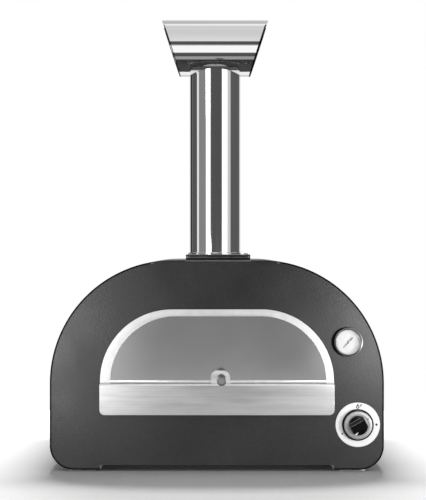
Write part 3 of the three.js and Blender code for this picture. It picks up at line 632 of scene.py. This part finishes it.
def makeDoor():
    d = door
    work = bmesh.new()
    addFace(work, archOutline(d["half"], d["bottom"], d["top"], d["radius"], d["middle"], 30), d["nearY"])
    pullOpen(work, d["nearY"], d["farY"])
    faceOut(work)
    addWall(work, forwards, d["wall"])
    finishPiece(work, "doorPanel", "doorSteel", "brushed_steel", "door_panel", body="door", edge=0.8,
                edgeSegments=3)
    blockPiece((d["middle"] - d["half"], d["lipNearY"], d["lipLow"]),
               (d["middle"] + d["half"], d["lipFarY"], d["lipHigh"]), 1.0, 3,
               "doorLip", "trimSteel", "mirror_steel", "door_lip", body="door")
    work = bmesh.new()
    tab = archOutline(d["tabHalf"], d["bottom"], d["tabTop"], d["tabRadius"], d["tabMiddle"], 12)
    addSheet(work, [tab], d["tabNearY"], d["tabFarY"] - d["tabNearY"], -1)
    finishPiece(work, "doorBracket", "trimSteel", "mirror_steel", "door_bracket", body="door", edge=0.9,
                edgeSegments=3)


def makeHandle(rod, grip, neck, start, end, cap, bore, pocket, rodStart, rodEnd):
    length = end - start
    gripProfile = [(bore, start), (neck - 2, start), (neck - 0.6, start + 0.6), (neck, start + 2),
                   (neck + 1.1, start + length * 0.25), (grip, start + length * 0.5), (grip, end - 2),
                   (grip - 0.6, end - 0.6), (grip - 2, end), (pocket, end), (pocket, rodEnd), (bore, rodEnd),
                   (bore, start)]
    seat = rodEnd + 0.3
    capProfile = [(0, seat), (cap, seat), (cap, end - 0.5), (cap - 0.5, end), (cap / 2 + 0.4, end),
                  (cap / 2, end - 0.4), (cap / 2, end - 1.6), (0, end - 1.6)]
    turnedPiece(rodProfile(rod, rodStart, rodEnd), handleCentre, "front", 40,
                "handleRod", "satinSteel", "satin_steel", "handle_rod", body="door")
    turnedPiece(gripProfile, handleCentre, "front", 56,
                "handleGrip", "handleSteel", "satin_steel", "handle_grip", body="door")
    turnedPiece(capProfile, handleCentre, "front", 40,
                "handleCap", "handleEndSteel", "zinc_steel", "handle_cap", body="door")


makeDoor()
makeHandle(**handle)
print("door made")


# Chamber and burner
chamber = dict(half=290.0, bottom=140.4, top=415.0, radius=200.0, nearY=-213.0, farY=307.0, wall=1.5,
               flueHole=56.7, igniterHole=3.3, igniterZ=258.4)
tiles = dict(half=289.7, nearY=-207.7, middleY=48.75, farY=305.2, low=180.1, high=200.1, gap=0.15, edge=2.0)
burner = dict(x=262.0, z=232.4, radius=14.0, wall=1.5, mouth=5.3, nearY=-133.0, farY=305.2, slotHalf=1,
              slotInset=30)


def makeVault():
    c = chamber
    near = c["nearY"] + c["wall"]
    work = bmesh.new()
    side = addLoop(work, archOutline(c["half"], c["bottom"], c["top"], c["radius"]), near)
    pulled = pull(work, side, (0, c["farY"] - c["nearY"] - 2 * c["wall"], 0))
    bmesh.ops.contextual_create(work, geom=only(pulled, BMEdge))
    mouthEdges = addLoop(work, archOutline(**throat), near)
    bmesh.ops.triangle_fill(work, edges=side + mouthEdges, use_beauty=True, normal=(0, -1, 0))
    under = [face for face in work.faces if isAt(face.calc_center_median().z, c["bottom"])]
    bmesh.ops.delete(work, geom=under, context="FACES")
    faceOut(work)
    addWall(work, upwards, -c["wall"])
    vault = finishPiece(work, "chamberVault", "chamberSteel", "satin_steel", "inner_vault")
    ways = bmesh.new()
    addTurned(ways, rodProfile(c["flueHole"], c["top"] - 15, c["top"] + 15), flueCentre, "up", 48)
    for radius, z in ((burner["mouth"], burner["z"]), (c["igniterHole"], c["igniterZ"])):
        addTurned(ways, rodProfile(radius, -10, 10), (burner["x"], c["farY"], z), "front", 20)
    cutAway(vault, ways)


def makeTiles():
    t = tiles
    rows = [(t["nearY"], t["middleY"] - t["gap"]), (t["middleY"] + t["gap"], t["farY"])]
    columns = [(-t["half"], -t["gap"]), (t["gap"], t["half"])]
    places = [(row, column) for row in rows for column in columns]
    for number, ((near, far), (left, right)) in enumerate(places, 1):
        blockPiece((left, near, t["low"]), (right, far, t["high"]), t["edge"], 2,
                   f"stoneTile{number}", "ovenStone", "stone", f"floor_tile_{number}")


def makeBurner(x, z, radius, wall, mouth, nearY, farY, slotHalf, slotInset):
    length = farY - nearY
    bore = radius - wall
    profile = [(0, length), (0, length - wall), (bore, length - wall), (bore, wall), (mouth, wall),
               (mouth, 0), (radius - 1, 0), (radius, 1), (radius, length - 2), (radius - 2, length),
               (0, length)]
    tube = turnedPiece(profile, (x, farY, z), "front", 40,
                       "burnerTube", "satinSteel", "satin_steel", "burner_tube")
    slot = bmesh.new()
    addBlock(slot, (x - slotHalf, nearY + slotInset, z), (x + slotHalf, farY - slotInset, z + 20))
    cutAway(tube, slot)


inlet = dict(centre=(338.378, 367.0, 105.611), hexRadius=12.0, hexLow=0.3, hexHigh=7.3, barb=5.5, bore=3.0,
             reach=18.0, shank=7.0, depth=14.0)


def makeInlet(centre, hexRadius, hexLow, hexHigh, barb, bore, reach, shank, depth):
    profile = [(0, 0), (bore, 0), (bore, -reach), (barb - 1.4, -reach)]
    for step in (2.6, 5.4, 8.2):
        profile += [(barb, -reach + step), (barb - 0.9, -reach + step)]
    profile += [(barb - 0.9, -hexHigh), (hexRadius * 0.8, -hexHigh), (hexRadius * 0.8, -hexLow),
                (shank, -hexLow), (shank, depth), (0, depth)]
    work = bmesh.new()
    addTurned(work, profile, centre, "front", 32)
    nut = bmesh.ops.create_cone(work, cap_ends=True, segments=6, radius1=hexRadius, radius2=hexRadius,
                                depth=hexHigh - hexLow)["verts"]
    bmesh.ops.rotate(work, cent=(0, 0, 0), matrix=Matrix.Rotation(math.pi / 2, 3, "X"), verts=nut)
    move(work, nut, (centre[0], centre[1] + (hexLow + hexHigh) / 2, centre[2]))
    finishPiece(work, "gasInlet", "plainBrass", "brass", "gas_inlet", edge=0.3)


makeVault()
makeTiles()
makeBurner(**burner)
makeInlet(**inlet)
print("chamber made")


# Control knob
knob = dict(plate=50.5, plateLow=0.3, plateHigh=1.5, bore=4.3, boreHigh=14.0, ringIn=32.6, ringOut=35.8,
            ringLow=1.8, ringHigh=7.3, skirt=32.0, skirtLow=6.0, skirtHigh=16.0, grip=22.4, gripLow=16.3,
            gripHigh=19.3, barHigh=28.3, flat=18.8, barBase=12.5, barUpper=7.0, barLower=-11.0, barTaper=0.93,
            angle=29.0)


def makeKnob(plate, plateLow, plateHigh, bore, boreHigh, ringIn, ringOut, ringLow, ringHigh, skirt, skirtLow,
             skirtHigh, grip, gripLow, gripHigh, barHigh, flat, barBase, barUpper, barLower, barTaper, angle):
    plateProfile = [(bore, plateLow), (plate, plateLow), (plate, plateHigh - 0.5), (plate - 0.5, plateHigh),
                    (bore, plateHigh), (bore, plateLow)]
    ringProfile = [(ringIn, ringLow), (ringOut, ringLow), (ringOut, ringHigh - 1.4),
                   (ringOut - 0.5, ringHigh - 0.4), (ringOut - 1.5, ringHigh), (ringIn + 0.5, ringHigh),
                   (ringIn, ringHigh - 0.5), (ringIn, ringLow)]
    skirtProfile = [(0, boreHigh), (bore, boreHigh), (bore, skirtLow), (skirt, skirtLow),
                    (skirt, skirtHigh - 2.2), (skirt - 0.7, skirtHigh - 0.7), (skirt - 2.2, skirtHigh),
                    (grip + 2.4, skirtHigh), (grip + 1.6, skirtHigh - 0.5), (0, skirtHigh - 0.5)]
    gripProfile = [(0, gripLow), (grip, gripLow), (grip, gripHigh - 1.6), (grip - 0.5, gripHigh - 0.5),
                   (grip - 1.6, gripHigh), (0, gripHigh)]
    turnedPiece(plateProfile, knobCentre, "front", 96,
                "knobPlate", "knobPlateSteel", "brushed_steel", "knob_plate")
    turnedPiece(ringProfile, knobCentre, "front", 96,
                "knobRing", "blackPlastic", "black_plastic", "knob_ring")
    turnedPiece(skirtProfile, knobCentre, "front", 96,
                "knobSkirt", "knobSkirtSteel", "satin_steel", "knob_skirt", body="knob")

    # the grip: a disc with two flats, and a bar that leans back to a narrow top
    work = bmesh.new()
    addTurned(work, gripProfile, knobCentre, "front", 72)
    turn = Matrix.Rotation(-math.radians(angle), 3, "Y")
    for side in (-1, 1):
        along = turn @ Vector((side, 0, 0))
        cut = cutPlane(work, Vector(knobCentre) + along * flat, along, clear_outer=True)
        bmesh.ops.contextual_create(work, geom=only(cut["geom_cut"], BMEdge))
    reach = flat - 0.1
    bar = addFrontSolid(work, boxCorners(-reach, reach, -barBase, barBase, 3, 3), gripLow + 0.5, barHigh,
                        (0, 0, 0))
    for vert in bar:
        if vert.co.y < -barHigh + 0.01:
            share = (vert.co.z + barBase) / (2 * barBase)
            vert.co.z = barLower + share * (barUpper - barLower)
            vert.co.x *= barTaper
    bmesh.ops.rotate(work, cent=(0, 0, 0), matrix=turn, verts=bar)
    move(work, bar, knobCentre)
    faceOut(work)
    grasp = finishPiece(work, "knobGrip", "blackPlastic", "black_plastic", "knob_grip", body="knob", edge=0.6,
                        edgeSegments=3)
    # The bar's upper flank, picked by its normal, is painted a lighter black: a painted sheen
    upper = turn @ upwards
    paintFaces(grasp, "paintedFlankSheen", lambda normal, centre: normal.dot(upper) > 0.3 and normal.y < -0.2)

    # Two thin grey strips, along the bar's upper edge and at the foot of its flank: painted highlight lines
    work = bmesh.new()
    for x, z, half, high in ((-1.5, barUpper - 0.5, 15.6, barHigh + 0.1),
                             (-4.0, barBase + 0.4, 15.5, gripHigh + 0.4)):
        addFrontSolid(work, boxCorners(x - half, x + half, z - 0.5, z + 0.5, 0.3, 0.3), high - 1.2, high,
                      knobCentre, angle)
    faceOut(work)
    finishPiece(work, "knobEdgeHighlights", "paintedGripHighlight", "black_plastic", body="knob")


# Marks, in places from the knob's centre, and the corners of a white triangle that is a painted highlight on
# the grip. Each drop is half width, half height and lift.
marks = dict(rightDot=(42.5, 0.5), rightDotRadius=2.7, leftDotAngle=210, leftDotReach=40.7, leftDotRadius=2.0,
             outerDrop=(5.6, 5.7, 42.4), innerDrop=(2.2, 2.6, 41.2), pointerAngle=34,
             bolt=((6.8, 46.9), (9.2, 46.9), (8.2, 44.3), (9.2, 44.3), (5.3, 39.4), (6.3, 42.7), (5.1, 42.7)),
             index=((-17.6, -13.4), (-14.0, -17.0), (-7.1, -13.2)))


def addDrop(work, half, tall, lift, y):
    drop = []
    for step in range(28):
        turn = math.tau * step / 28
        drop.append((knobCentre[0] + half * math.sin(turn) * math.sin(turn / 2) ** 1.5,
                     knobCentre[2] + lift + tall * math.cos(turn)))
    return addLoop(work, drop, knobCentre[1] - y)


def makeKnobMarks():
    m = marks
    low = knob["plateHigh"] - 0.05
    high = knob["plateHigh"] + 0.15
    x, z = m["rightDot"]
    dots = ((m["rightDotRadius"], (knobCentre[0] + x, knobCentre[1], knobCentre[2] + z)),
            (m["leftDotRadius"], placeRound(knobCentre, m["leftDotReach"], m["leftDotAngle"])))
    work = bmesh.new()
    for radius, centre in dots:
        addTurned(work, rodProfile(radius, low, high), centre, "front", 20)
    # flame: an open drop, and beside it a small bolt
    addRings(work, [addDrop(work, *m["outerDrop"], low), addDrop(work, *m["outerDrop"], high),
                    addDrop(work, *m["innerDrop"], high), addDrop(work, *m["innerDrop"], low)])
    addFrontSolid(work, [(x, z, 0) for x, z in m["bolt"]], low, high, knobCentre)
    faceOut(work)
    finishPiece(work, "knobPlateMarks", "markInk", "black_plastic")

    work = bmesh.new()
    addFrontSolid(work, boxCorners(24.0, 28.4, -1.0, 1.0, 0.5, 0.5), knob["skirtHigh"] - 0.05,
                  knob["skirtHigh"] + 0.15, knobCentre, m["pointerAngle"])
    faceOut(work)
    finishPiece(work, "knobPointer", "markInk", "black_plastic", body="knob")
    # A white triangle on the grip's lower flat beside the bar: a painted highlight
    work = bmesh.new()
    addFrontSolid(work, [(x, z, 0) for x, z in m["index"]], knob["gripHigh"] - 0.05,
                  knob["gripHigh"] + 0.2, knobCentre, knob["angle"])
    faceOut(work)
    finishPiece(work, "knobGripHighlight", "dialEnamel", "dial_white", body="knob")


makeKnob(**knob)
makeKnobMarks()
print("knob made")


# Thermometer
gauge = dict(caseRadius=32.0, back=28.0, backReach=5.16, floor=7.16, lipLow=9.4, lipHigh=10.2, lipIn=30.6,
             bezel=28.7, rim=18.16, bore=28.1, dial=27.9, dialLow=7.46, dialHigh=8.46, glassLow=15.96,
             glassHigh=17.36)
gaugeTilt = Matrix.Rotation(math.radians(-10.0), 3, "Z")
ticks = dict(count=19, first=-45, pitch=15, reach=25.6, half=0.35, longHalf=0.6)
# A pale arc with a dark dot at each end: each stretch is a first angle and a sweep in degrees.
arcRadii = (22.6, 24.8)
arcs = dict(gaugeArc=("arcInk", ((-34, 54),)), gaugeArcEnds=("scaleInk", ((-38, 5), (19, 6))))
needle = dict(hub=3.0, hubLow=8.76, hubHigh=10.9, low=9.46, high=10.26, angle=227, paleHub=2.2,
              corners=((18.5, -0.5, 0), (18.5, 0.5, 0), (3.0, 1.0, 0), (-4.5, 0.5, 0), (-5.5, 1.5, 0),
                       (-13.5, 1.1, 0.4), (-13.5, -1.1, 0.4), (-5.5, -1.5, 0), (-4.5, -0.5, 0),
                       (3.0, -1.0, 0)))
shadowDisc = dict(radius=33.4, bore=14.0, low=0.05, high=1.0, aside=-6.6)


def finishGauge(work, *finish, **more):
    bmesh.ops.rotate(work, cent=gaugeCentre, matrix=gaugeTilt, verts=work.verts[:])
    return finishPiece(work, *finish, **more)


def turnedGauge(profile, steps, *finish):
    work = bmesh.new()
    addTurned(work, profile, gaugeCentre, "front", steps)
    return finishGauge(work, *finish)


def makeGauge(caseRadius, back, backReach, floor, lipLow, lipHigh, lipIn, bezel, rim, bore, dial, dialLow,
              dialHigh, glassLow, glassHigh):
    case = turnedGauge([(0, backReach), (back, backReach), (caseRadius, floor - 0.6), (caseRadius, lipLow),
                        (lipIn, lipHigh), (bezel, rim - 0.4), (bezel - 0.3, rim), (bore + 0.2, rim),
                        (bore, rim - 0.3), (bore, floor), (0, floor)], 96,
                       "gaugeCase", "gaugeSteel", "mirror_steel", "thermometer_case")
    # The front rim gets the bright trim steel and the rest of the case a darker steel: painted highlight on
    # the rim, painted shade on the flanks
    paintFaces(case, "trimSteel", lambda normal, centre: normal.y < -0.95)
    turnedGauge(rodProfile(dial, dialLow, dialHigh), 72,
                "gaugeDial", "dialEnamel", "dial_white", "thermometer_dial")

    low = dialHigh - 0.05
    high = dialHigh + 0.12
    t = ticks
    work = bmesh.new()
    for step in range(t["count"]):
        angle = t["first"] + step * t["pitch"]
        half = t["half"] if step % 3 else t["longHalf"]
        addFrontSolid(work, boxCorners(-1.5, 1.5, -half, half), low, high,
                      placeRound(gaugeCentre, t["reach"], angle), angle)
    faceOut(work)
    finishGauge(work, "gaugeTicks", "tickInk", "black_plastic")

    for name, (look, sweeps) in arcs.items():
        work = bmesh.new()
        for first, sweep in sweeps:
            start = [work.verts.new(placeRound(gaugeCentre, radius, first, high)) for radius in arcRadii]
            rib = work.edges.new(start)
            bmesh.ops.spin(work, geom=start + [rib], cent=gaugeCentre, axis=(0, 1, 0),
                           angle=-math.radians(sweep), steps=sweep // 2)
        bmesh.ops.solidify(work, geom=work.faces[:], thickness=0.15)
        faceOut(work)
        finishGauge(work, name, look, "black_plastic")

    makeNeedle(**needle)
    turnedGauge(rodProfile(dial, glassLow, glassHigh), 72,
                "gaugeGlass", "gaugeGlass", "clear_glass", "thermometer_glass")


def makeNeedle(hub, hubLow, hubHigh, low, high, angle, paleHub, corners):
    work = bmesh.new()
    addTurned(work, [(0, hubLow), (hub, hubLow), (hub, hubHigh - 0.5), (hub - 0.5, hubHigh), (0, hubHigh)],
              gaugeCentre, "front", 24)
    addFrontSolid(work, corners, low, high, gaugeCentre, angle)
    faceOut(work)
    pointer = finishGauge(work, "gaugeNeedle", "needlePaint", "black_steel", "thermometer_needle",
                          body="needle")
    middle = Vector(gaugeCentre) * mm
    paintFaces(pointer, "dialEnamel", lambda normal, centre: (centre - middle).xz.length < paleHub * mm)


# A near-black disc set off to the left behind the thermometer's case: a painted shadow of the case
def makeGaugeShadowDisc(radius, bore, low, high, aside):
    turnedPiece([(bore, low), (radius, low), (radius, high - 0.4), (radius - 0.4, high), (bore, high),
                 (bore, low)], (gaugeCentre[0] + aside, gaugeCentre[1], gaugeCentre[2]), "front", 72,
                "gaugeGasket", "edgeBlack", "black_plastic")


makeGauge(**gauge)
makeGaugeShadowDisc(**shadowDisc)
print("thermometer made")


# Flue
flue = dict(pipe=60.0, wall=1.5, seat=492.9, spigot=58.2, spigotTop=537.6, roof=416.8, flange=75.0,
            ring=60.3, ringWidth=2.3, ringHeight=4.6, steps=96)
collar = dict(x=3.0, half=75.0, hole=58.5, plates=((480.3, 486.3), (486.6, 492.6)), screwReach=66.0,
              edge=1.4, bead=1.1, dot=2.2, wayLow=400, wayHigh=550)
cowl = dict(middle=980.5, halfDepth=100.0, halfHeight=65.9, topLength=251.4, bottomLength=166.2, wall=1.5,
            neckLow=869.6, neckHoleLow=850, blankHalf=200, steps=128, leftShadeBand=1.8, rightShadeBand=3.2,
            shadeBandTop=1028.0)


# A pipe whose upper end follows the cowl's underside, at a distance of fitted outside it
def fittedPiece(radius, low, fitted, *finish, **more):
    x, y = flueCentre[:2]
    inner = radius - flue["wall"]
    work = bmesh.new()
    circles = []
    for size, atTop in ((radius, False), (radius, True), (inner, True), (inner, False)):
        circle = bmesh.ops.create_circle(work, segments=flue["steps"], radius=size)["verts"]
        move(work, circle, (x, y, low))
        for vert in circle:
            if atTop:
                share = (vert.co.y - y) / (cowl["halfDepth"] + fitted)
                vert.co.z = cowl["middle"] - (cowl["halfHeight"] + fitted) * math.sqrt(1 - share * share)
        circles.append(list({edge for vert in circle for edge in vert.link_edges}))
    addRings(work, circles)
    faceOut(work)
    return finishPiece(work, *finish, **more)


# Cuts the round way of the flue, between two heights, out of a piece.
def cutFlueWay(piece, radius, low, high):
    way = bmesh.new()
    addTurned(way, rodProfile(radius, low, high), flueCentre, "up", 72)
    cutAway(piece, way)


def collarBlock(reach, low, high):
    x, y = collar["x"], flueCentre[1]
    return (x - reach, y - reach, low), (x + reach, y + reach, high)


def makeCollar():
    c = collar
    flueY = flueCentre[1]
    for name, node, (low, high) in zip(("collarBase", "collarPlate"), ("collar_base", "collar_plate"),
                                       c["plates"]):
        plate = blockPiece(*collarBlock(c["half"], low, high), c["edge"], 3,
                           name, "blackSteel", "black_steel", node)
        cutFlueWay(plate, c["hole"], low - 5, high + 5)
    # The upward-sloping edge faces of the top plate get the bright trim steel: a painted highlight
    paintFaces(plate, "trimSteel", lambda normal, centre: 0.3 < normal.z < 0.95)

    # a bead of seam sealer between the plates, with a blob near each corner
    seam = (c["plates"][0][1] + c["plates"][1][0]) / 2
    work = bmesh.new()
    addBlock(work, *collarBlock(c["half"] - c["edge"] / 2, seam - c["bead"], seam + c["bead"]),
             c["bead"] * 0.6, 2)
    for right in (-1, 1):
        for back in (-1, 1):
            place = (c["x"] + right * (c["half"] - 4), flueY + back * (c["half"] - 0.5), seam)
            blob = bmesh.ops.create_icosphere(work, subdivisions=3, radius=c["dot"])["verts"]
            bmesh.ops.scale(work, vec=(1, 0.5, 0.8), verts=blob)
            move(work, blob, place)
    bead = finishPiece(work, "collarSeam", "seamSealer", "zinc_steel")
    cutFlueWay(bead, c["hole"], c["wayLow"], c["wayHigh"])
    for number, (right, back) in enumerate(((-1, -1), (1, -1), (1, 1), (-1, 1)), 1):
        place = (c["x"] + right * c["screwReach"], flueY + back * c["screwReach"], flue["seat"])
        makeScrew(f"collarScrew{number}", f"collar_screw_{number}", place, "up")


def makePipe(pipe, wall, seat, spigot, spigotTop, roof, flange, ring, ringWidth, ringHeight, steps):
    x, y = flueCentre[:2]
    outer = ring + ringWidth
    ringProfile = [(ring, 0), (outer, 0), (outer, 3.2), (ring + 1.8, 4.2), (ring + 1.0, ringHeight),
                   (ring, ringHeight), (ring, 0)]
    bore = spigot - wall
    spigotProfile = [(bore, roof), (flange, roof), (flange, roof + wall), (spigot, roof + wall),
                     (spigot, spigotTop), (bore, spigotTop), (bore, roof)]
    turnedPiece(ringProfile, (x, y, seat), "up", steps,
                "flueRing", "mirrorSteel", "mirror_steel", "flue_ring")
    turnedPiece(spigotProfile, flueCentre, "up", 80,
                "flueSpigot", "zincSteel", "zinc_steel", "flue_spigot")
    fittedPiece(pipe, seat, 0.3, "fluePipe", "mirrorSteel", "mirror_steel", "flue_pipe", body="pipe")


# Whether a place on the cowl, in metres, lies in the narrow band along one of its slanted ends that is
# painted near-black as shade.
def inShadeBand(place):
    c = cowl
    height = place.z / mm
    lean = (c["topLength"] - c["bottomLength"]) / (4 * c["halfHeight"])
    middle = (c["topLength"] + c["bottomLength"]) / 4
    side = place.x / mm - flueCentre[0]
    shadeBand = c["leftShadeBand"] if side < 0 else c["rightShadeBand"]
    return abs(side) > middle + lean * (height - c["middle"]) - shadeBand and height < c["shadeBandTop"]


def makeCowl():
    c = cowl
    x, y = flueCentre[:2]
    work = bmesh.new()
    bmesh.ops.create_circle(work, segments=c["steps"], radius=1)
    bmesh.ops.rotate(work, cent=(0, 0, 0), matrix=Matrix.Rotation(math.pi / 2, 3, "Y"), verts=work.verts[:])
    bmesh.ops.scale(work, vec=(1, c["halfDepth"], c["halfHeight"]), verts=work.verts[:])
    move(work, work.verts[:], (x - c["blankHalf"], y, c["middle"]))
    pull(work, work.edges[:], (2 * c["blankHalf"], 0, 0))
    foot = c["middle"] - c["halfHeight"]
    reach = c["bottomLength"] / 2
    lean = (c["topLength"] - c["bottomLength"]) / 2
    for side, shadeBand in ((-1, c["leftShadeBand"]), (1, c["rightShadeBand"])):
        way = (side * 2 * c["halfHeight"], 0, -lean)
        cutPlane(work, (x + side * reach, y, foot), way, clear_outer=True)
        cutPlane(work, (x + side * (reach - shadeBand), y, foot), way)
    faceOut(work)
    addWall(work, upwards, c["wall"])
    piece = finishPiece(work, "flueCowl", "cowlSteel", "mirror_steel", "flue_cap", body="cap")
    # The bands along the slanted ends are painted near-black: painted shade of the cowl's open ends
    paintFaces(piece, "edgeBlack", lambda normal, centre: inShadeBand(centre))
    cutFlueWay(piece, flue["spigot"] - flue["wall"], c["neckHoleLow"], c["middle"])
    fittedPiece(flue["spigot"], c["neckLow"], -0.7, "cowlNeck", "cowlSteel", "mirror_steel", body="cap")


makeCollar()
makePipe(**flue)
makeCowl()
print("flue made")

# The solids that stay get their finish
kept = dict(
    base_pan="blackSteel", door_liner="satinSteel", door_insulation="woolBlanket",
    vault_insulation="woolBlanket", floor_board="fibreBoard", floor_frame="zincSteel",
    burner_cradle="zincSteel", burner_guard="satinSteel", igniter_electrode="ceramic", gas_valve="plainBrass",
    gas_pipe="satinSteel", inlet_pipe="satinSteel", valve_stem="plainBrass", thermometer_stem="zincSteel",
    thermometer_nut="plainBrass")
for nodeName, look in kept.items():
    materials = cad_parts[nodeName].data.materials
    materials.clear()
    materials.append(looks[look])


# Studio: the floor's size is in millimetres, and its fade, the camera and the lamps are in metres
ground = dict(radius=1150, centre=(0, 50, -0.2), steps=96, fadeStart=0.65, fadeEnd=1.1)
view = dict(place=(-0.0088, -3.753, 0.503), sensorHeight=36.0, lens=110.8)


def makeFloor():
    work = bmesh.new()
    bmesh.ops.create_circle(work, cap_ends=True, segments=ground["steps"], radius=ground["radius"])
    move(work, work.verts[:], ground["centre"])
    floor = addMeshObject(work, "studioFloor")
    tree, shader, vector = startMaterial("studioFloor")
    seen = addNode(tree, "LightPath", {})["Is Camera Ray"]
    away = addNode(tree, "VectorMath", {0: vector}, operation="LENGTH")["Value"]
    glow = spread(tree, away, 0, 0.6, ground["fadeStart"], ground["fadeEnd"])
    feed(tree, shader, {
        "Base Color": blend(tree, seen, colour(0.5), colour(1), "RGBA"), "Emission Color": colour(1),
        "Emission Strength": maths(tree, "MULTIPLY", glow, seen),
        "Roughness": 0.9, "Specular IOR Level": 0.1})
    floor.data.materials.append(looks["studioFloor"])
    floor.visible_glossy = False
    return floor


# Grey screens around the studio, which the polished steel shows: azimuth from the front towards the
# right, elevation, both from and to in degrees, then softness and level
screens = [
    (-90, 90, 17, 112, 3, 0.8),
    (-90, 90, 50, 112, 14, 0.7),
    (-90, -12, 17, 75, 3, 0.4),
    (12, 90, 17, 75, 3, 0.4),
    (90, 270, 26, 53, 2, 0.55),
    (-270, -90, 26, 53, 2, 0.55),
    (90, 270, 65, 112, 2, 0.72),
    (-270, -90, 65, 112, 2, 0.72),
    (-80, 80, -47, -5.5, 1, 0.09),
    (-6, 6, -47, -7, 1, 1.1),
    (-200, 200, -69, -48, 2, 0.09),
    (-200, 200, -112, -69, 2, 0.36),
    (-200, -149, -22, 24, 2, 0.7),
    (-149, -126, -22, 24, 2, 0.03),
    (-126, -89, -22, 24, 2, 0.1),
    (-79, -42, -22, 24, 2, 0.26),
    (-40, -22, -24, 40, 2, 1.4),
    (33, 57, -24, 40, 2, 1.4),
    (59, 74, -22, 24, 2, 0.65),
    (74, 146, -22, 24, 2, 0.11),
    (146, 200, -22, 24, 2, 0.7),
    (-20, 31, -1.5, 18.5, 1, 0.09),
    (-7, 31, -4.9, -1.2, 0.3, 0.33),
    (-9, -3.1, -4.9, -1.8, 0.6, 0.7),
    (3.9, 9, -4.5, -3.2, 0.2, 0.9),
]


def makeWorld():
    world = bpy.data.worlds.new("studio")
    bpy.context.scene.world = world
    world.use_nodes = True
    tree = world.node_tree
    tree.nodes.clear()
    place = addNode(tree, "TexCoord", {})["Generated"]
    parts = addNode(tree, "SeparateXYZ", {"Vector": place})
    forward = maths(tree, "MULTIPLY", parts["Y"], -1.0)
    azimuth = maths(tree, "DEGREES", maths(tree, "ARCTAN2", parts["X"], forward))
    elevation = maths(tree, "DEGREES", maths(tree, "ARCSINE", parts["Z"]))

    def within(value, low, high, soft):
        return maths(tree, "MULTIPLY", spread(tree, value, 0, 1, low - soft, low + soft),
                     spread(tree, value, 1, 0, high - soft, high + soft))

    level = 1.0
    for left, right, low, high, soft, shade in screens:
        mask = maths(tree, "MULTIPLY", within(azimuth, left, right, soft), within(elevation, low, high, soft))
        level = blend(tree, mask, level, shade)
    path = addNode(tree, "LightPath", {})
    shiny = maths(tree, "MAXIMUM", path["Is Glossy Ray"], path["Is Transmission Ray"])
    strength = blend(tree, path["Is Camera Ray"], blend(tree, shiny, 0.3, level), 1.0)
    background = addNode(tree, "Background", {"Color": colour(1), "Strength": strength})
    addNode(tree, "OutputWorld", {"Surface": background["Background"]})


# Lamps: place, aim, size and power. The side lamps leave the floor to the overhead lamp.
lamps = dict(
    keyRight=((0.86, -0.88, 0.14), (0.3, -0.25, 0.2), (0.2, 0.26), 4.5),
    sheenRight=((0.476, -0.9, 0.31), (0.4, -0.25, 0.31), (0.2, 0.3), 1.5),
    sheenLeft=((-0.5, -1.25, 0.28), (-0.32, -0.25, 0.28), (0.26, 0.5), 2.1),
    fillLeft=((-0.69, -1.2, 1.1), (-0.2, -0.25, 0.35), (0.4, 0.4), 1.9),
    overhead=((0.0, 0.75, 2.2), (0.0, 0.0, 0.3), (1.2, 0.4), 52.0))


def makeLamps(floor):
    spared = bpy.data.collections.new("spared")
    spared.objects.link(floor)
    spared.collection_objects[0].light_linking.link_state = "EXCLUDE"
    for name, (place, aim, size, power) in lamps.items():
        light = bpy.data.lights.new(name, "AREA")
        light.shape = "RECTANGLE"
        light.size, light.size_y = size
        light.energy = power
        holder = addObject(name, light)
        holder.location = place
        holder.rotation_euler = (Vector(aim) - Vector(place)).to_track_quat("-Z", "Y").to_euler()
        holder.visible_camera = False
        if name == "overhead":
            holder.visible_glossy = False
        else:
            holder.light_linking.receiver_collection = spared


def makeCamera():
    data = bpy.data.cameras.new("camera")
    data.sensor_fit = "VERTICAL"
    data.sensor_height = view["sensorHeight"]
    data.lens = view["lens"]
    camera = addObject("camera", data)
    camera.location = view["place"]
    camera.rotation_euler = (math.pi / 2, 0, 0)
    bpy.context.scene.camera = camera


studioFloor = makeFloor()
makeWorld()
makeLamps(studioFloor)
makeCamera()
bpy.context.scene.view_settings.view_transform = "Standard"
print("studio made")
